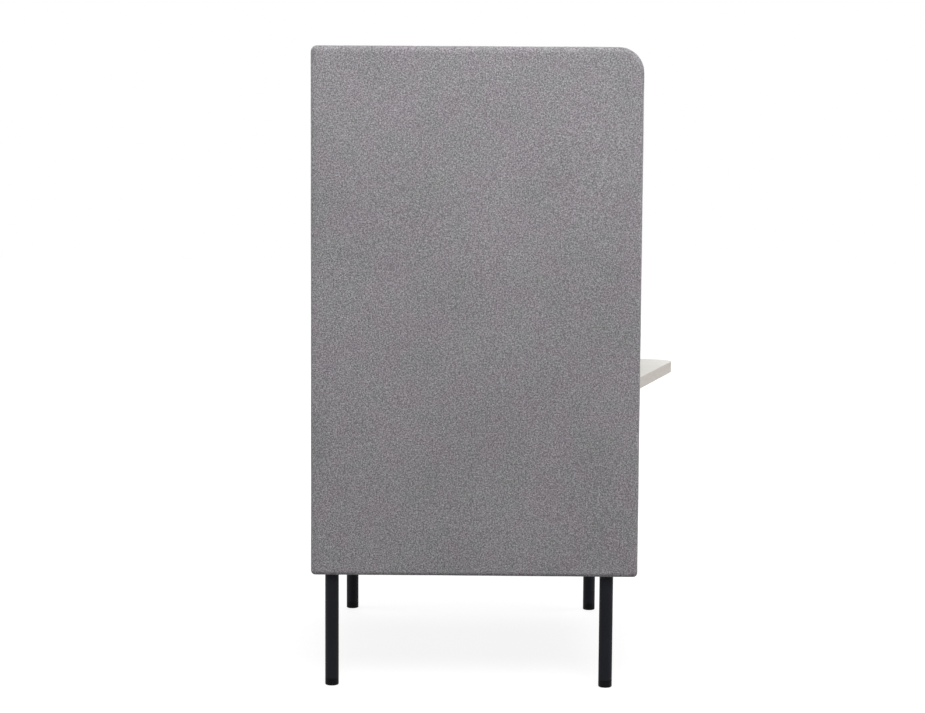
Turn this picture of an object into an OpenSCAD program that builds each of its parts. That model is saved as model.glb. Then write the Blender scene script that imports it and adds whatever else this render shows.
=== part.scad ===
// High-backed upholstered study pod for one sitter, with a swivelling tablet table.
// +X points out of the open front, +Y to the sitter's left and +Z up. The floor is Z = 0.

/* [Pod] */
// Width over the outsides of the two side panels
pod_w = 850; // [760:1:960]
// Depth of the side panels from rear edge to front edge
pod_d = 715; // [680:1:780]
// Height of the panels' upper edge above the floor
pod_h = 1400; // [1320:1:1600]
// Height of the middle of the seat above the floor
seat_h = 440; // [400:1:480]
// Distance of the panels' lower edge below the middle of the seat
panel_drop = 190; // [180:1:205]

/* [Padded panels] */
// Thickness of a finished side or back panel
panel_t = 60; // [56:1:72]
// Radius of the upper front corner of a side panel
front_corner_r = 62; // [40:1:90]
// Radius of the upper rear corner of a side panel
rear_corner_r = 14; // [12:1:24]
// Radius of the lower corners of a side panel
lower_corner_r = 10; // [8:1:16]
// Radius to which the padding rounds a panel's edges
panel_edge_r = 13; // [9:1:16]
// Thickness of the woven cover
fabric_t = 1.5; // [1:0.1:2]
// Thickness of the foam on a panel
panel_foam_t = 9; // [7:0.5:11]
// Thickness of the board skins on the timber frames
skin_t = 4; // [3:0.5:5]
// Width of the upright timbers
stile_w = 70; // [60:1:80]
// Height of the lowest timber, which takes the legs and the seat bolts
low_rail_h = 90; // [70:1:120]
// Height of the middle and top timbers
rail_h = 70; // [50:1:90]
// Distance of the back panel from the side panels' rear edge
back_inset = 4; // [0:1:12]
// Pitch of the bolts that join the side panels to the back
frame_bolt_pitch = 400; // [300:1:420]

/* [Seat] */
// Thickness of the seat cushion at its edge
seat_cushion_t = 75; // [65:1:80]
// Rise of the seat cushion in the middle
seat_crown = 10; // [6:1:16]
// Thickness of the plywood seat deck
deck_t = 15; // [12:1:18]
// Thickness of the timbers of the seat box
seat_rail_t = 22; // [18:1:28]
// Height of the seat box above the panels' lower edge
seat_box_lift = 12; // [6:1:16]
// Distance of the seat's front from the side panels' front edge
seat_setback = 38; // [25:1:60]
// Thickness of the foam on the front of the seat box
front_foam_t = 9; // [6:0.5:12]
// Leg length of the corner blocks in the seat box
corner_block_w = 60; // [45:1:75]
// Thickness of the dust cover under the seat
dust_cover_t = 1; // [0.8:0.1:2]
// Distance of the seat bolts from the ends of the seat box
seat_bolt_inset = 95; // [85:1:120]

/* [Back cushion] */
// Height of the back cushion's upper edge above the seat
back_cushion_rise = 460; // [380:1:560]
// Thickness of the back cushion at its edge
back_cushion_t = 62; // [50:1:75]
// Rise of the back cushion in the middle
back_crown = 10; // [6:1:16]
// Thickness of the plywood board behind the back cushion
cushion_board_t = 9; // [6:1:15]
// Thickness of the touch and close strips behind that board
strip_t = 3; // [2:0.5:4]
// Width of the touch and close strips
strip_w = 40; // [25:1:60]

/* [Cushion shape] */
// Radius of a cushion's corners
cushion_corner_r = 24; // [18:1:40]
// Radius of a cushion's edges
cushion_edge_r = 14; // [10:1:20]
// Depth to which a cushion's sides draw in between the corners
cushion_draw = 4; // [2:0.5:6]
// Room beside a cushion at its corners
cushion_gap = 1; // [0.6:0.1:3]

/* [Legs] */
// Diameter of a leg tube
leg_d = 30; // [25:1:36]
// Wall of a leg tube
leg_wall = 2; // [1.5:0.1:2.5]
// Distance of the rear legs from the side panels' rear edge
rear_leg_inset = 45; // [40:1:60]
// Distance of the front legs from the side panels' front edge
front_leg_inset = 67; // [50:1:90]
// Diameter of the stud on top of a leg
leg_stud_d = 10; // [8:1:12]
// Length of the stud above the leg tube
leg_stud_l = 38; // [34:1:60]
// Thickness of the disc that closes the top of a leg tube
leg_disc_t = 4; // [3:0.5:6]
// Length of the threaded sleeve in the timber above a leg
sleeve_nut_l = 25; // [18:1:30]
// Wall of that threaded sleeve
sleeve_nut_wall = 2.5; // [2:0.1:3.5]

/* [Feet] */
// Height of a foot cap
foot_h = 15; // [12:1:20]
// Gap between a foot cap and its leg tube when fully screwed in
foot_gap = 0.8; // [0.6:0.1:0.9]
// Diameter of the stem of a foot
stem_d = 8; // [6:1:10]
// Length of the stem above the foot cap
stem_l = 38; // [34:1:60]
// Length of the threaded insert in the foot of a leg tube
insert_l = 20; // [15:1:24]
// Rounding of the lower edge of a foot cap
foot_edge_r = 2.5; // [1.5:0.1:4]

/* [Tablet table] */
// Height of the table's surface above the seat
table_rise = 220; // [190:1:260]
// Gap between the table's far end and the left side panel when the table stands square
far_gap = 107; // [90:1:180]
// Depth of the table
table_w = 320; // [280:1:340]
// Thickness of the table
table_t = 25; // [18:1:30]
// Radius of the table's corners
table_corner_r = 50; // [44:1:70]
// Thickness of the band round the table's edge
edge_band_t = 2; // [1:0.1:3]
// Angle by which the far end of the table stands forward of square
table_angle = 16; // [0:1:40]
// Distance of the pivot from the side panels' front edge
pivot_setback = 80; // [75:1:110]
// Distance of the pivot from the side panel's inner face
pivot_offset = 80; // [74:1:95]
// Distance of the pivot from the table's front edge
front_reach = 60; // [50:1:62]
// Distance of the pivot from the table's near end
end_reach = 57; // [50:1:60]

/* [Table pivot] */
// Thickness of the steel plate under the table
table_plate_t = 5; // [4:0.5:8]
// Length of that plate along the table
table_plate_l = 190; // [150:1:240]
// Width of that plate
table_plate_w = 110; // [100:1:130]
// Distance of the pivot from the plate's near end and front edge
plate_reach = 44; // [38:1:46]
// Distance of the table's screws from the edges of the plate
screw_inset = 14; // [11:1:18]
// Diameter of the pivot shaft
shaft_d = 22; // [18:1:25]
// Wall of the two flanged bushes
bush_wall = 2.5; // [2:0.1:3]
// Length of a bush in the housing
bush_l = 25; // [18:1:32]
// Thickness of a bush's flange
bush_flange_t = 2.5; // [2:0.1:4]
// Wall of the housing tube
housing_wall = 5; // [4:0.5:8]
// Length of the housing tube
housing_l = 110; // [90:1:130]
// Thickness of the washer between bush and table plate
thrust_washer_t = 2; // [1.5:0.1:3]
// Thickness of the washer that holds the shaft from below
end_washer_t = 3; // [2:0.1:4]
// Thickness of the bracket's wall plate
bracket_plate_t = 6; // [5:0.5:8]
// Width of the bracket's wall plate
bracket_plate_w = 100; // [90:1:120]
// Height of the bracket's wall plate
bracket_plate_h = 140; // [130:1:160]
// Thickness of the bracket's web
bracket_web_t = 12; // [8:1:16]
// Corner radius of the flat steel plates
plate_corner_r = 8; // [4:1:10]
// Distance of the bracket bolts from the edges of the wall plate
bracket_bolt_inset = 17; // [15:1:20]

/* [Fasteners] */
// Diameter of the machine bolts
bolt_d = 8; // [6:1:8]
// Diameter of the wood screws
screw_d = 5; // [4:0.5:5.5]
// Length of the table screws in the table top
table_screw_bite = 16; // [10:1:17]
// Length of the deck screws below the deck
deck_screw_bite = 30; // [20:1:40]
// Diameter of the barrel nuts
barrel_nut_d = 14; // [12:1:16]
// Distance of the barrel nuts from the end of the back frame
barrel_nut_inset = 34; // [25:1:40]
// Flange thickness of the tee nuts
tee_flange_t = 1.5; // [1.2:0.1:2]
// Barrel length of the tee nuts
tee_barrel_l = 12; // [9:1:14]
// Barrel wall of the tee nuts
tee_barrel_wall = 1.5; // [1.2:0.1:2]

/* [Fits] */
// Gap between neighbouring soft pieces
soft_gap = 0.3; // [0.2:0.05:0.5]
// Gap round pieces that are welded, moulded or glued in
seat_fit = 0.05; // [0.02:0.01:0.1]
// Gap between screw threads
thread_gap = 0.1; // [0.08:0.01:0.2]
// Gap round a shaft that turns
running_gap = 0.08; // [0.05:0.01:0.1]
// Gap round bolts in wood, board and cloth
hole_gap = 0.4; // [0.3:0.05:0.8]

/* [Hidden] */
$fn = 64;
hull_facets = 32;
edge_steps = 4;

fabric_colour = [0.54, 0.53, 0.54];
foam_colour = [0.93, 0.89, 0.70];
timber_colour = [0.80, 0.64, 0.43];
board_colour = [0.62, 0.47, 0.31];
black_steel_colour = [0.14, 0.14, 0.16];
black_plastic_colour = [0.11, 0.11, 0.13];
zinc_colour = [0.72, 0.73, 0.75];
nylon_colour = [0.88, 0.88, 0.86];
laminate_colour = [0.87, 0.86, 0.83];
band_colour = [0.76, 0.72, 0.68];

// The table's far front corner sticks out beyond the side panels, and the origin is mid-way.
inner_y = pod_w / 2 - panel_t;
table_l = 2 * inner_y - pivot_offset - far_gap + end_reach;
table_corner_along = table_l - end_reach - table_corner_r;
table_corner_across = front_reach - table_corner_r;
table_reach_x = table_corner_along * sin(table_angle)
    + table_corner_across * cos(table_angle) + table_corner_r;
table_overhang = max(0, table_reach_x - pivot_setback);
front_x = pod_d / 2 - table_overhang / 2;
rear_x = front_x - pod_d;
mid_x = (front_x + rear_x) / 2;

// Padded panels
panel_lift = seat_h - panel_drop;
panel_h = pod_h - panel_lift;
panel_z = panel_lift + panel_h / 2;
padding = fabric_t + panel_foam_t;
timber_t = panel_t - 2 * (padding + skin_t);
core_t = panel_t - 2 * padding;
side_y = pod_w / 2 - panel_t / 2;
core_h = panel_h - 2 * padding;
core_d = pod_d - 2 * padding;
core_low_z = panel_lift + padding;
back_w = 2 * (inner_y - soft_gap);
back_x = rear_x + back_inset + panel_t / 2;
back_front_x = back_x + panel_t / 2;
core_w = back_w - 2 * padding;
side_radii = [lower_corner_r, front_corner_r, rear_corner_r, lower_corner_r];
back_radii = [lower_corner_r, rear_corner_r, rear_corner_r, lower_corner_r];
corner_signs = [[1, -1], [1, 1], [-1, 1], [-1, -1]];
edge_share = 0.9;
least_corner_share = 0.5;
frame_bolt_z = [for (k = [-1:1]) panel_z + k * frame_bolt_pitch];

// Seat
seat_front_x = front_x - seat_setback;
seat_rear_x = back_front_x + soft_gap;
deck_top = seat_h - seat_crown - seat_cushion_t;
seat_rail_top = deck_top - deck_t;
seat_rail_low = panel_lift + seat_box_lift;
seat_rail_h = seat_rail_top - seat_rail_low;
seat_rail_z = (seat_rail_top + seat_rail_low) / 2;
seat_box_w = 2 * (inner_y - soft_gap);
pad_t = front_foam_t + 2 * fabric_t;
box_front_x = seat_front_x - pad_t;
pad_h = deck_top - seat_rail_low;
seat_bolt_x = [seat_rear_x + seat_bolt_inset, box_front_x - seat_bolt_inset];
back_bolt_y = [-seat_box_w / 2 + seat_bolt_inset, seat_box_w / 2 - seat_bolt_inset];
deck_screw_share = 0.42;

// Back cushion
back_cushion_top = seat_h + back_cushion_rise;
board_rear_x = back_front_x + strip_t;
board_front_x = board_rear_x + cushion_board_t;
back_cushion_low = deck_top + soft_gap;
back_cushion_h = back_cushion_top - back_cushion_low;
back_cushion_z = (back_cushion_top + back_cushion_low) / 2;
back_cushion_front = board_front_x + soft_gap + back_cushion_t + back_crown;
cushion_w = 2 * (inner_y - cushion_gap);
board_margin = cushion_corner_r;
strip_share = 0.3;
seat_cushion_rear = back_cushion_front + cushion_gap;
seat_cushion_d = seat_front_x - seat_cushion_rear;

// Counts of faces in a cushion's form
side_steps = 5;
corner_steps = 4;
low_steps = 2;
top_steps = 5;

// Legs and feet
leg_r = leg_d / 2;
leg_bore_r = leg_r - leg_wall;
leg_x = [front_x - front_leg_inset, rear_x + rear_leg_inset];
leg_low = foot_h + foot_gap;
stud_hole_r = leg_stud_d / 2 + hole_gap;
sleeve_nut_r = leg_stud_d / 2 + thread_gap + sleeve_nut_wall;

// Tablet table and its pivot
pivot_x = front_x - pivot_setback;
pivot_y = -inner_y + pivot_offset;
table_h = seat_h + table_rise;
table_low = table_h - table_t;
plate_low = table_low - table_plate_t;
housing_top = plate_low - thrust_washer_t - bush_flange_t;
housing_low = housing_top - housing_l;
housing_z = (housing_top + housing_low) / 2;
shaft_r = shaft_d / 2;
bush_bore_r = shaft_r + running_gap;
bush_r = bush_bore_r + bush_wall;
housing_bore_r = bush_r + seat_fit;
housing_r = housing_bore_r + housing_wall;
shaft_low = housing_low - bush_flange_t - running_gap;
shaft_socket_l = 3 * bolt_d;
bracket_face_y = -inner_y;
bracket_bolt_x = bracket_plate_w / 2 - bracket_bolt_inset;
bracket_bolt_z = bracket_plate_h / 2 - bracket_bolt_inset;
bracket_bolts_at = [for (i = [-1, 1], k = [-1, 1])
    [pivot_x + i * bracket_bolt_x, housing_z + k * bracket_bolt_z]];
table_screws_at = [
    for (v = [plate_reach - screw_inset, plate_reach - table_plate_w + screw_inset],
         u = [screw_inset - plate_reach, table_plate_l - plate_reach - screw_inset]) [v, u]
];

// Fasteners
bolt_r = bolt_d / 2;
bolt_head_share = 0.8;
bolt_head_r = bolt_d * bolt_head_share;
bolt_head_t = bolt_d * bolt_head_share;
bolt_hole_r = bolt_r + hole_gap;
nut_bore_r = bolt_r + thread_gap;
tee_barrel_r = nut_bore_r + tee_barrel_wall;
tee_flange_r = 2 * tee_barrel_r;
barrel_nut_r = barrel_nut_d / 2;
screw_r = screw_d / 2;
screw_hole_r = screw_r + seat_fit;
screw_head_r = screw_d;
screw_head_t = screw_d / 2;
sleeve_r = bolt_hole_r + tee_barrel_wall;
core_outer_y = side_y + core_t / 2;
timber_outer_y = side_y + timber_t / 2;
seat_rail_inner_y = seat_box_w / 2 - seat_rail_t;
timber_rear_x = back_x - timber_t / 2;
barrel_nut_y = core_w / 2 - barrel_nut_inset;

// A disc with a rounded rim, the corner of a padded panel
module coin(radius, edge, half_t) {
    rotate_extrude($fn = hull_facets)
        polygon([
            [0, -half_t],
            for (i = [0:edge_steps]) let (a = 90 * i / edge_steps)
                [radius - edge + edge * sin(a), -half_t + edge - edge * cos(a)],
            for (i = [0:edge_steps]) let (a = 90 * i / edge_steps)
                [radius - edge + edge * cos(a), half_t - edge + edge * sin(a)],
            [0, half_t]
        ]);
}

// A panel with a padded rim, its thickness along Z
module padded_slab(length, height, thickness, radii, edge, inset) {
    hull()
        for (k = [0:3]) {
            radius = max(radii[k] - inset, least_corner_share * radii[k]);
            translate([
                corner_signs[k].x * (length / 2 - inset - radius),
                corner_signs[k].y * (height / 2 - inset - radius),
                0
            ])
                coin(radius, min(edge - inset, edge_share * radius), thickness / 2 - inset);
        }
}

// Turns a panel drawn in the X-Y plane to stand along X, with Y up
module stand_side(y) {
    translate([mid_x, y, panel_z]) rotate([90, 0, 0]) children();
}

// Turns a panel drawn in the X-Y plane to stand along Y, with Y up
module stand_back() {
    translate([back_x, 0, panel_z]) rotate([90, 0, 90]) children();
}

// A rod along Y that starts at one place and ends at another
module rod_y(x, z, from, to, radius) {
    translate([x, min(from, to), z]) rotate([-90, 0, 0]) cylinder(h = abs(to - from), r = radius);
}

// A rod along X that starts at one place and ends at another
module rod_x(y, z, from, to, radius) {
    translate([min(from, to), y, z]) rotate([0, 90, 0]) cylinder(h = abs(to - from), r = radius);
}

// A rod along Z that starts at one place and ends at another
module rod_z(x, y, from, to, radius) {
    translate([x, y, min(from, to)]) cylinder(h = abs(to - from), r = radius);
}

// Bores of the legs in a side panel
module leg_bores(side, radius, from, to) {
    for (x = leg_x) rod_z(x, side * side_y, from, to, radius);
}

// Bores of the bolts to the back panel and the seat box in a side panel
module side_bores(side) {
    for (z = frame_bolt_z) rod_y(back_x, z, 0, side * timber_outer_y, bolt_hole_r);
    for (x = seat_bolt_x) rod_y(x, seat_rail_z, 0, side * timber_outer_y, bolt_hole_r);
}

// Bores of the table bracket's bolts, with room for their sleeves in the padding
module bracket_bores() {
    for (p = bracket_bolts_at) rod_y(p.x, p.y, 0, -timber_outer_y, bolt_hole_r);
}

module bracket_sleeve_bores() {
    for (p = bracket_bolts_at)
        rod_y(p.x, p.y, 0, -side_y + core_t / 2, sleeve_r + seat_fit);
}

// Recesses of the tee nuts in a side timber
module tee_recess(x, z, side) {
    rod_y(x, z, side * (timber_outer_y - tee_flange_t), side * core_outer_y, tee_flange_r + hole_gap);
    rod_y(x, z, side * (timber_outer_y - tee_flange_t - tee_barrel_l), side * core_outer_y,
        tee_barrel_r + seat_fit);
}

// Outline of the boards inside a panel, with its upper front corner rounded
module core_outline(length, height, radius) {
    difference() {
        square([length, height], center = true);
        translate([length / 2 - radius, height / 2 - radius]) square(2 * radius);
    }
    translate([length / 2 - radius, height / 2 - radius]) circle(radius);
}

// Openings between the timbers of a panel
module frame_windows(length) {
    window_w = length - 2 * stile_w;
    window_h = (core_h - low_rail_h - 2 * rail_h) / 2;
    for (k = [0, 1])
        translate([-window_w / 2, -core_h / 2 + low_rail_h + k * (window_h + rail_h)])
            square([window_w, window_h]);
}

// Side panels
module side_core(thickness) {
    linear_extrude(thickness, center = true)
        core_outline(core_d, core_h, front_corner_r - padding);
}

module side_frame(side) {
    difference() {
        stand_side(side * side_y)
            linear_extrude(timber_t, center = true)
                difference() {
                    core_outline(core_d, core_h, front_corner_r - padding);
                    frame_windows(core_d);
                }
        side_bores(side);
        for (z = frame_bolt_z)
            rod_y(back_x, z, side * (timber_outer_y - bolt_head_t), side * core_outer_y,
                bolt_head_r + hole_gap);
        for (x = seat_bolt_x) tee_recess(x, seat_rail_z, side);
        leg_bores(side, sleeve_nut_r + seat_fit, core_low_z, core_low_z + sleeve_nut_l);
        leg_bores(side, stud_hole_r, core_low_z, panel_lift + leg_stud_l + hole_gap);
        if (side < 0) for (p = bracket_bolts_at) {
            rod_y(p.x, p.y, 0, -core_outer_y, bolt_hole_r);
            tee_recess(p.x, p.y, side);
        }
    }
}

module side_skin(side, outer) {
    place = side_y + outer * (timber_t + skin_t) / 2;
    difference() {
        stand_side(side * place) side_core(skin_t);
        if (outer < 0) side_bores(side);
        if (outer < 0 && side < 0) bracket_bores();
    }
}

module side_foam(side) {
    difference() {
        stand_side(side * side_y)
            padded_slab(pod_d, panel_h, panel_t, side_radii, panel_edge_r, fabric_t);
        stand_side(side * side_y) side_core(core_t);
        side_bores(side);
        leg_bores(side, stud_hole_r, panel_lift, core_low_z);
        if (side < 0) bracket_sleeve_bores();
    }
}

module side_cover(side) {
    difference() {
        stand_side(side * side_y)
            padded_slab(pod_d, panel_h, panel_t, side_radii, panel_edge_r, 0);
        stand_side(side * side_y)
            padded_slab(pod_d, panel_h, panel_t, side_radii, panel_edge_r, fabric_t);
        side_bores(side);
        leg_bores(side, stud_hole_r, panel_lift - fabric_t, core_low_z);
        if (side < 0) bracket_sleeve_bores();
    }
}

module right_frame() { color(timber_colour) side_frame(-1); }
module right_outer_skin() { color(board_colour) side_skin(-1, 1); }
module right_inner_skin() { color(board_colour) side_skin(-1, -1); }
module right_foam() { color(foam_colour) side_foam(-1); }
module right_cover() { color(fabric_colour) side_cover(-1); }
module left_frame() { color(timber_colour) side_frame(1); }
module left_outer_skin() { color(board_colour) side_skin(1, 1); }
module left_inner_skin() { color(board_colour) side_skin(1, -1); }
module left_foam() { color(foam_colour) side_foam(1); }
module left_cover() { color(fabric_colour) side_cover(1); }

// Back panel
module back_bores() {
    for (side = [-1, 1], z = frame_bolt_z)
        rod_y(back_x, z, side * (barrel_nut_y - bolt_d), side * inner_y, bolt_hole_r);
    for (y = back_bolt_y)
        rod_x(y, seat_rail_z, timber_rear_x, seat_rear_x, bolt_hole_r);
}

module back_frame() {
    color(timber_colour)
        difference() {
            stand_back()
                linear_extrude(timber_t, center = true)
                    difference() {
                        square([core_w, core_h], center = true);
                        frame_windows(core_w);
                    }
            back_bores();
            for (side = [-1, 1], z = frame_bolt_z)
                rod_x(side * barrel_nut_y, z, timber_rear_x, back_x + barrel_nut_r + seat_fit,
                    barrel_nut_r + seat_fit);
            for (y = back_bolt_y) {
                rod_x(y, seat_rail_z, timber_rear_x - skin_t, timber_rear_x + tee_flange_t,
                    tee_flange_r + hole_gap);
                rod_x(y, seat_rail_z, timber_rear_x, timber_rear_x + tee_flange_t + tee_barrel_l,
                    tee_barrel_r + seat_fit);
            }
        }
}

module back_skin(face) {
    color(board_colour)
        difference() {
            translate([face * (timber_t + skin_t) / 2, 0, 0])
                stand_back()
                    linear_extrude(skin_t, center = true)
                        square([core_w, core_h], center = true);
            if (face > 0) back_bores();
        }
}

module back_outer_skin() { back_skin(-1); }
module back_inner_skin() { back_skin(1); }

module back_foam() {
    color(foam_colour)
        difference() {
            stand_back()
                padded_slab(back_w, panel_h, panel_t, back_radii, panel_edge_r, fabric_t);
            stand_back()
                linear_extrude(core_t, center = true)
                    square([core_w, core_h], center = true);
            back_bores();
        }
}

module back_cover() {
    color(fabric_colour)
        difference() {
            stand_back()
                padded_slab(back_w, panel_h, panel_t, back_radii, panel_edge_r, 0);
            stand_back()
                padded_slab(back_w, panel_h, panel_t, back_radii, panel_edge_r, fabric_t);
            back_bores();
        }
}

// Bolts and barrel nuts that join the side panels to the back
module frame_bolts() {
    color(zinc_colour)
        for (side = [-1, 1], z = frame_bolt_z) {
            head = side * (timber_outer_y - bolt_head_t);
            rod_y(back_x, z, head, side * timber_outer_y, bolt_head_r);
            rod_y(back_x, z, side * (barrel_nut_y - barrel_nut_r), head, bolt_r);
        }
}

module barrel_nuts() {
    color(zinc_colour)
        for (side = [-1, 1], z = frame_bolt_z)
            difference() {
                rod_x(side * barrel_nut_y, z, timber_rear_x, back_x + barrel_nut_r, barrel_nut_r);
                rod_y(back_x, z, side * (barrel_nut_y - barrel_nut_d),
                    side * (barrel_nut_y + barrel_nut_d), nut_bore_r);
            }
}

// Timber behind the table bracket, beside the front upright of the right panel
module bracket_block() {
    block_front = front_x - padding - stile_w;
    block_rear = pivot_x - bracket_plate_w / 2;
    color(timber_colour)
        difference() {
            translate([block_rear, -timber_outer_y, housing_z - bracket_plate_h / 2])
                cube([block_front - block_rear, timber_t, bracket_plate_h]);
            for (p = bracket_bolts_at) {
                rod_y(p.x, p.y, 0, -core_outer_y, bolt_hole_r);
                tee_recess(p.x, p.y, -1);
            }
        }
}

// Seat box
module seat_front_rail() {
    color(timber_colour)
        difference() {
            translate([box_front_x - seat_rail_t, -seat_box_w / 2, seat_rail_low])
                cube([seat_rail_t, seat_box_w, seat_rail_h]);
            deck_screw_bores();
        }
}

module seat_rear_rail() {
    color(timber_colour)
        difference() {
            translate([seat_rear_x, -seat_rail_inner_y, seat_rail_low])
                cube([seat_rail_t, 2 * seat_rail_inner_y, seat_rail_h]);
            for (y = back_bolt_y)
                rod_x(y, seat_rail_z, back_x, mid_x, bolt_hole_r);
            deck_screw_bores();
        }
}

module seat_side_rails() {
    rail_l = box_front_x - seat_rail_t - seat_rear_x;
    color(timber_colour)
        for (side = [-1, 1])
            difference() {
                translate([
                    seat_rear_x,
                    side * (seat_box_w - seat_rail_t) / 2 - seat_rail_t / 2,
                    seat_rail_low
                ])
                    cube([rail_l, seat_rail_t, seat_rail_h]);
                side_bores(side);
            }
}

module seat_corner_blocks() {
    color(timber_colour)
        for (side = [-1, 1], end = [0, 1])
            translate([
                end == 0 ? seat_rear_x + seat_rail_t : box_front_x - seat_rail_t,
                side * seat_rail_inner_y,
                seat_rail_low
            ])
                mirror([end, 0, 0])
                    mirror([0, side > 0 ? 1 : 0, 0])
                        linear_extrude(seat_rail_h)
                            polygon([[0, 0], [corner_block_w, 0], [0, corner_block_w]]);
}

// Places of the deck screws on the front and rear rails
module deck_screw_places() {
    for (x = [seat_rear_x + seat_rail_t / 2, box_front_x - seat_rail_t / 2], k = [-1:1])
        translate([x, k * deck_screw_share * seat_box_w, deck_top]) children();
}

module deck_screw_bores() {
    deck_screw_places()
        translate([0, 0, -deck_t - deck_screw_bite])
            cylinder(h = deck_t + deck_screw_bite, r = screw_hole_r);
}

module seat_deck() {
    color(board_colour)
        difference() {
            translate([seat_rear_x, -seat_box_w / 2, seat_rail_top])
                cube([box_front_x - seat_rear_x, seat_box_w, deck_t]);
            deck_screw_bores();
            deck_screw_places()
                translate([0, 0, -screw_head_t])
                    cylinder(h = 2 * screw_head_t, r = screw_head_r + hole_gap);
        }
}

module deck_screws() {
    color(zinc_colour)
        deck_screw_places() {
            translate([0, 0, -screw_head_t]) cylinder(h = screw_head_t, r = screw_head_r);
            translate([0, 0, -deck_t - deck_screw_bite])
                cylinder(h = deck_t + deck_screw_bite - screw_head_t, r = screw_r);
        }
}

module dust_cover() {
    color(black_plastic_colour)
        translate([seat_rear_x, -seat_box_w / 2, seat_rail_low - dust_cover_t])
            cube([box_front_x - seat_rear_x, seat_box_w, dust_cover_t]);
}

// Padded front of the seat box
module front_slab(inset) {
    translate([seat_front_x - pad_t / 2, 0, seat_rail_low + pad_h / 2])
        rotate([90, 0, 90])
            padded_slab(seat_box_w, pad_h, pad_t, [for (k = [0:3]) pad_t / 2], pad_t / 2, inset);
}

module front_pad_foam() { color(foam_colour) front_slab(fabric_t); }

module front_pad_cover() {
    color(fabric_colour)
        difference() {
            front_slab(0);
            front_slab(fabric_t);
        }
}

// Bolts that hold the seat box to the side and back panels, with their tee nuts
module seat_bolts() {
    tip_y = timber_outer_y - tee_flange_t;
    tip_x = timber_rear_x + tee_flange_t;
    color(zinc_colour) {
        for (side = [-1, 1], x = seat_bolt_x) {
            rod_y(x, seat_rail_z, side * seat_rail_inner_y,
                side * (seat_rail_inner_y - bolt_head_t), bolt_head_r);
            rod_y(x, seat_rail_z, side * seat_rail_inner_y, side * tip_y, bolt_r);
        }
        for (y = back_bolt_y) {
            rod_x(y, seat_rail_z, seat_rear_x + seat_rail_t, seat_rear_x + seat_rail_t + bolt_head_t,
                bolt_head_r);
            rod_x(y, seat_rail_z, tip_x, seat_rear_x + seat_rail_t, bolt_r);
        }
    }
}

// A tee nut along Z, its flange at Z = 0 and its barrel above
module tee_nut() {
    difference() {
        union() {
            cylinder(h = tee_flange_t, r = tee_flange_r);
            cylinder(h = tee_flange_t + tee_barrel_l, r = tee_barrel_r);
        }
        translate([0, 0, -tee_barrel_l]) cylinder(h = 3 * tee_barrel_l, r = nut_bore_r);
    }
}

module tee_nuts() {
    color(zinc_colour) {
        for (side = [-1, 1], x = seat_bolt_x)
            translate([x, side * timber_outer_y, seat_rail_z]) rotate([side * 90, 0, 0]) tee_nut();
        for (y = back_bolt_y)
            translate([timber_rear_x, y, seat_rail_z]) rotate([0, 90, 0]) tee_nut();
        for (p = bracket_bolts_at)
            translate([p.x, -timber_outer_y, p.y]) rotate([-90, 0, 0]) tee_nut();
    }
}

// Points of a cushion's outline, drawn in between its corners
function side_run(half_across, half_along, radius) = [
    for (i = [0:side_steps - 1])
        let (y = (2 * i / side_steps - 1) * (half_along - radius))
        [half_across - cushion_draw * (1 - pow(y / (half_along - radius), 2)), y]
];
function corner_run(half_across, half_along, radius) = [
    for (i = [0:corner_steps - 1])
        let (a = 90 * i / corner_steps)
        [half_across - radius + radius * cos(a), half_along - radius + radius * sin(a)]
];
function quarter(half_across, half_along, radius) =
    concat(side_run(half_across, half_along, radius), corner_run(half_across, half_along, radius));
function turned(points, quarters) = [
    for (p = points) [
        p.x * cos(90 * quarters) - p.y * sin(90 * quarters),
        p.x * sin(90 * quarters) + p.y * cos(90 * quarters)
    ]
];
function cushion_outline(half_x, half_y, radius) = concat(
    quarter(half_x, half_y, radius),
    turned(quarter(half_y, half_x, radius), 1),
    turned(quarter(half_x, half_y, radius), 2),
    turned(quarter(half_y, half_x, radius), 3)
);

// Rings of a cushion from its flat base to its crown: inset, scale and height
function cushion_rings(edge, height, crown) = concat(
    [for (i = [0:low_steps]) let (a = 90 * i / low_steps)
        [edge / 2 * (1 - sin(a)), 1, edge / 2 * (1 - cos(a))]],
    [for (i = [0:edge_steps]) let (a = 90 * i / edge_steps)
        [edge * (1 - cos(a)), 1, height - edge + edge * sin(a)]],
    [for (i = [1:top_steps]) let (s = 1 - i / (top_steps + 1))
        [edge, s, height + crown * (1 - s * s)]]
);

// A crowned cushion that stands on Z = 0, moved in on all sides by an inset
module cushion(length, width, height, crown, inset) {
    edge = cushion_edge_r - inset;
    radius = cushion_corner_r - inset;
    rings = cushion_rings(edge, height - 2 * inset, crown);
    count = 4 * (side_steps + corner_steps);
    last = len(rings) - 1;
    points = concat(
        [for (ring = rings)
            each [for (p = cushion_outline(length / 2 - inset - ring[0], width / 2 - inset - ring[0],
                max(radius - ring[0], least_corner_share * radius)))
                [p.x * ring[1], p.y * ring[1], ring[2] + inset]]],
        [[0, 0, inset], [0, 0, height - inset + crown]]
    );
    faces = concat(
        [for (r = [0:last - 1], k = [0:count - 1])
            let (a = r * count + k, b = r * count + (k + 1) % count)
            each [[a, a + count, b + count], [a, b + count, b]]],
        [for (k = [0:count - 1]) [len(points) - 2, k, (k + 1) % count]],
        [for (k = [0:count - 1])
            [len(points) - 1, last * count + (k + 1) % count, last * count + k]]
    );
    polyhedron(points, faces, convexity = 4);
}

module seat_cushion_form(inset) {
    translate([seat_cushion_rear + seat_cushion_d / 2, 0, deck_top])
        cushion(seat_cushion_d, cushion_w, seat_cushion_t, seat_crown, inset);
}

module seat_foam() { color(foam_colour) seat_cushion_form(fabric_t); }

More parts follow.
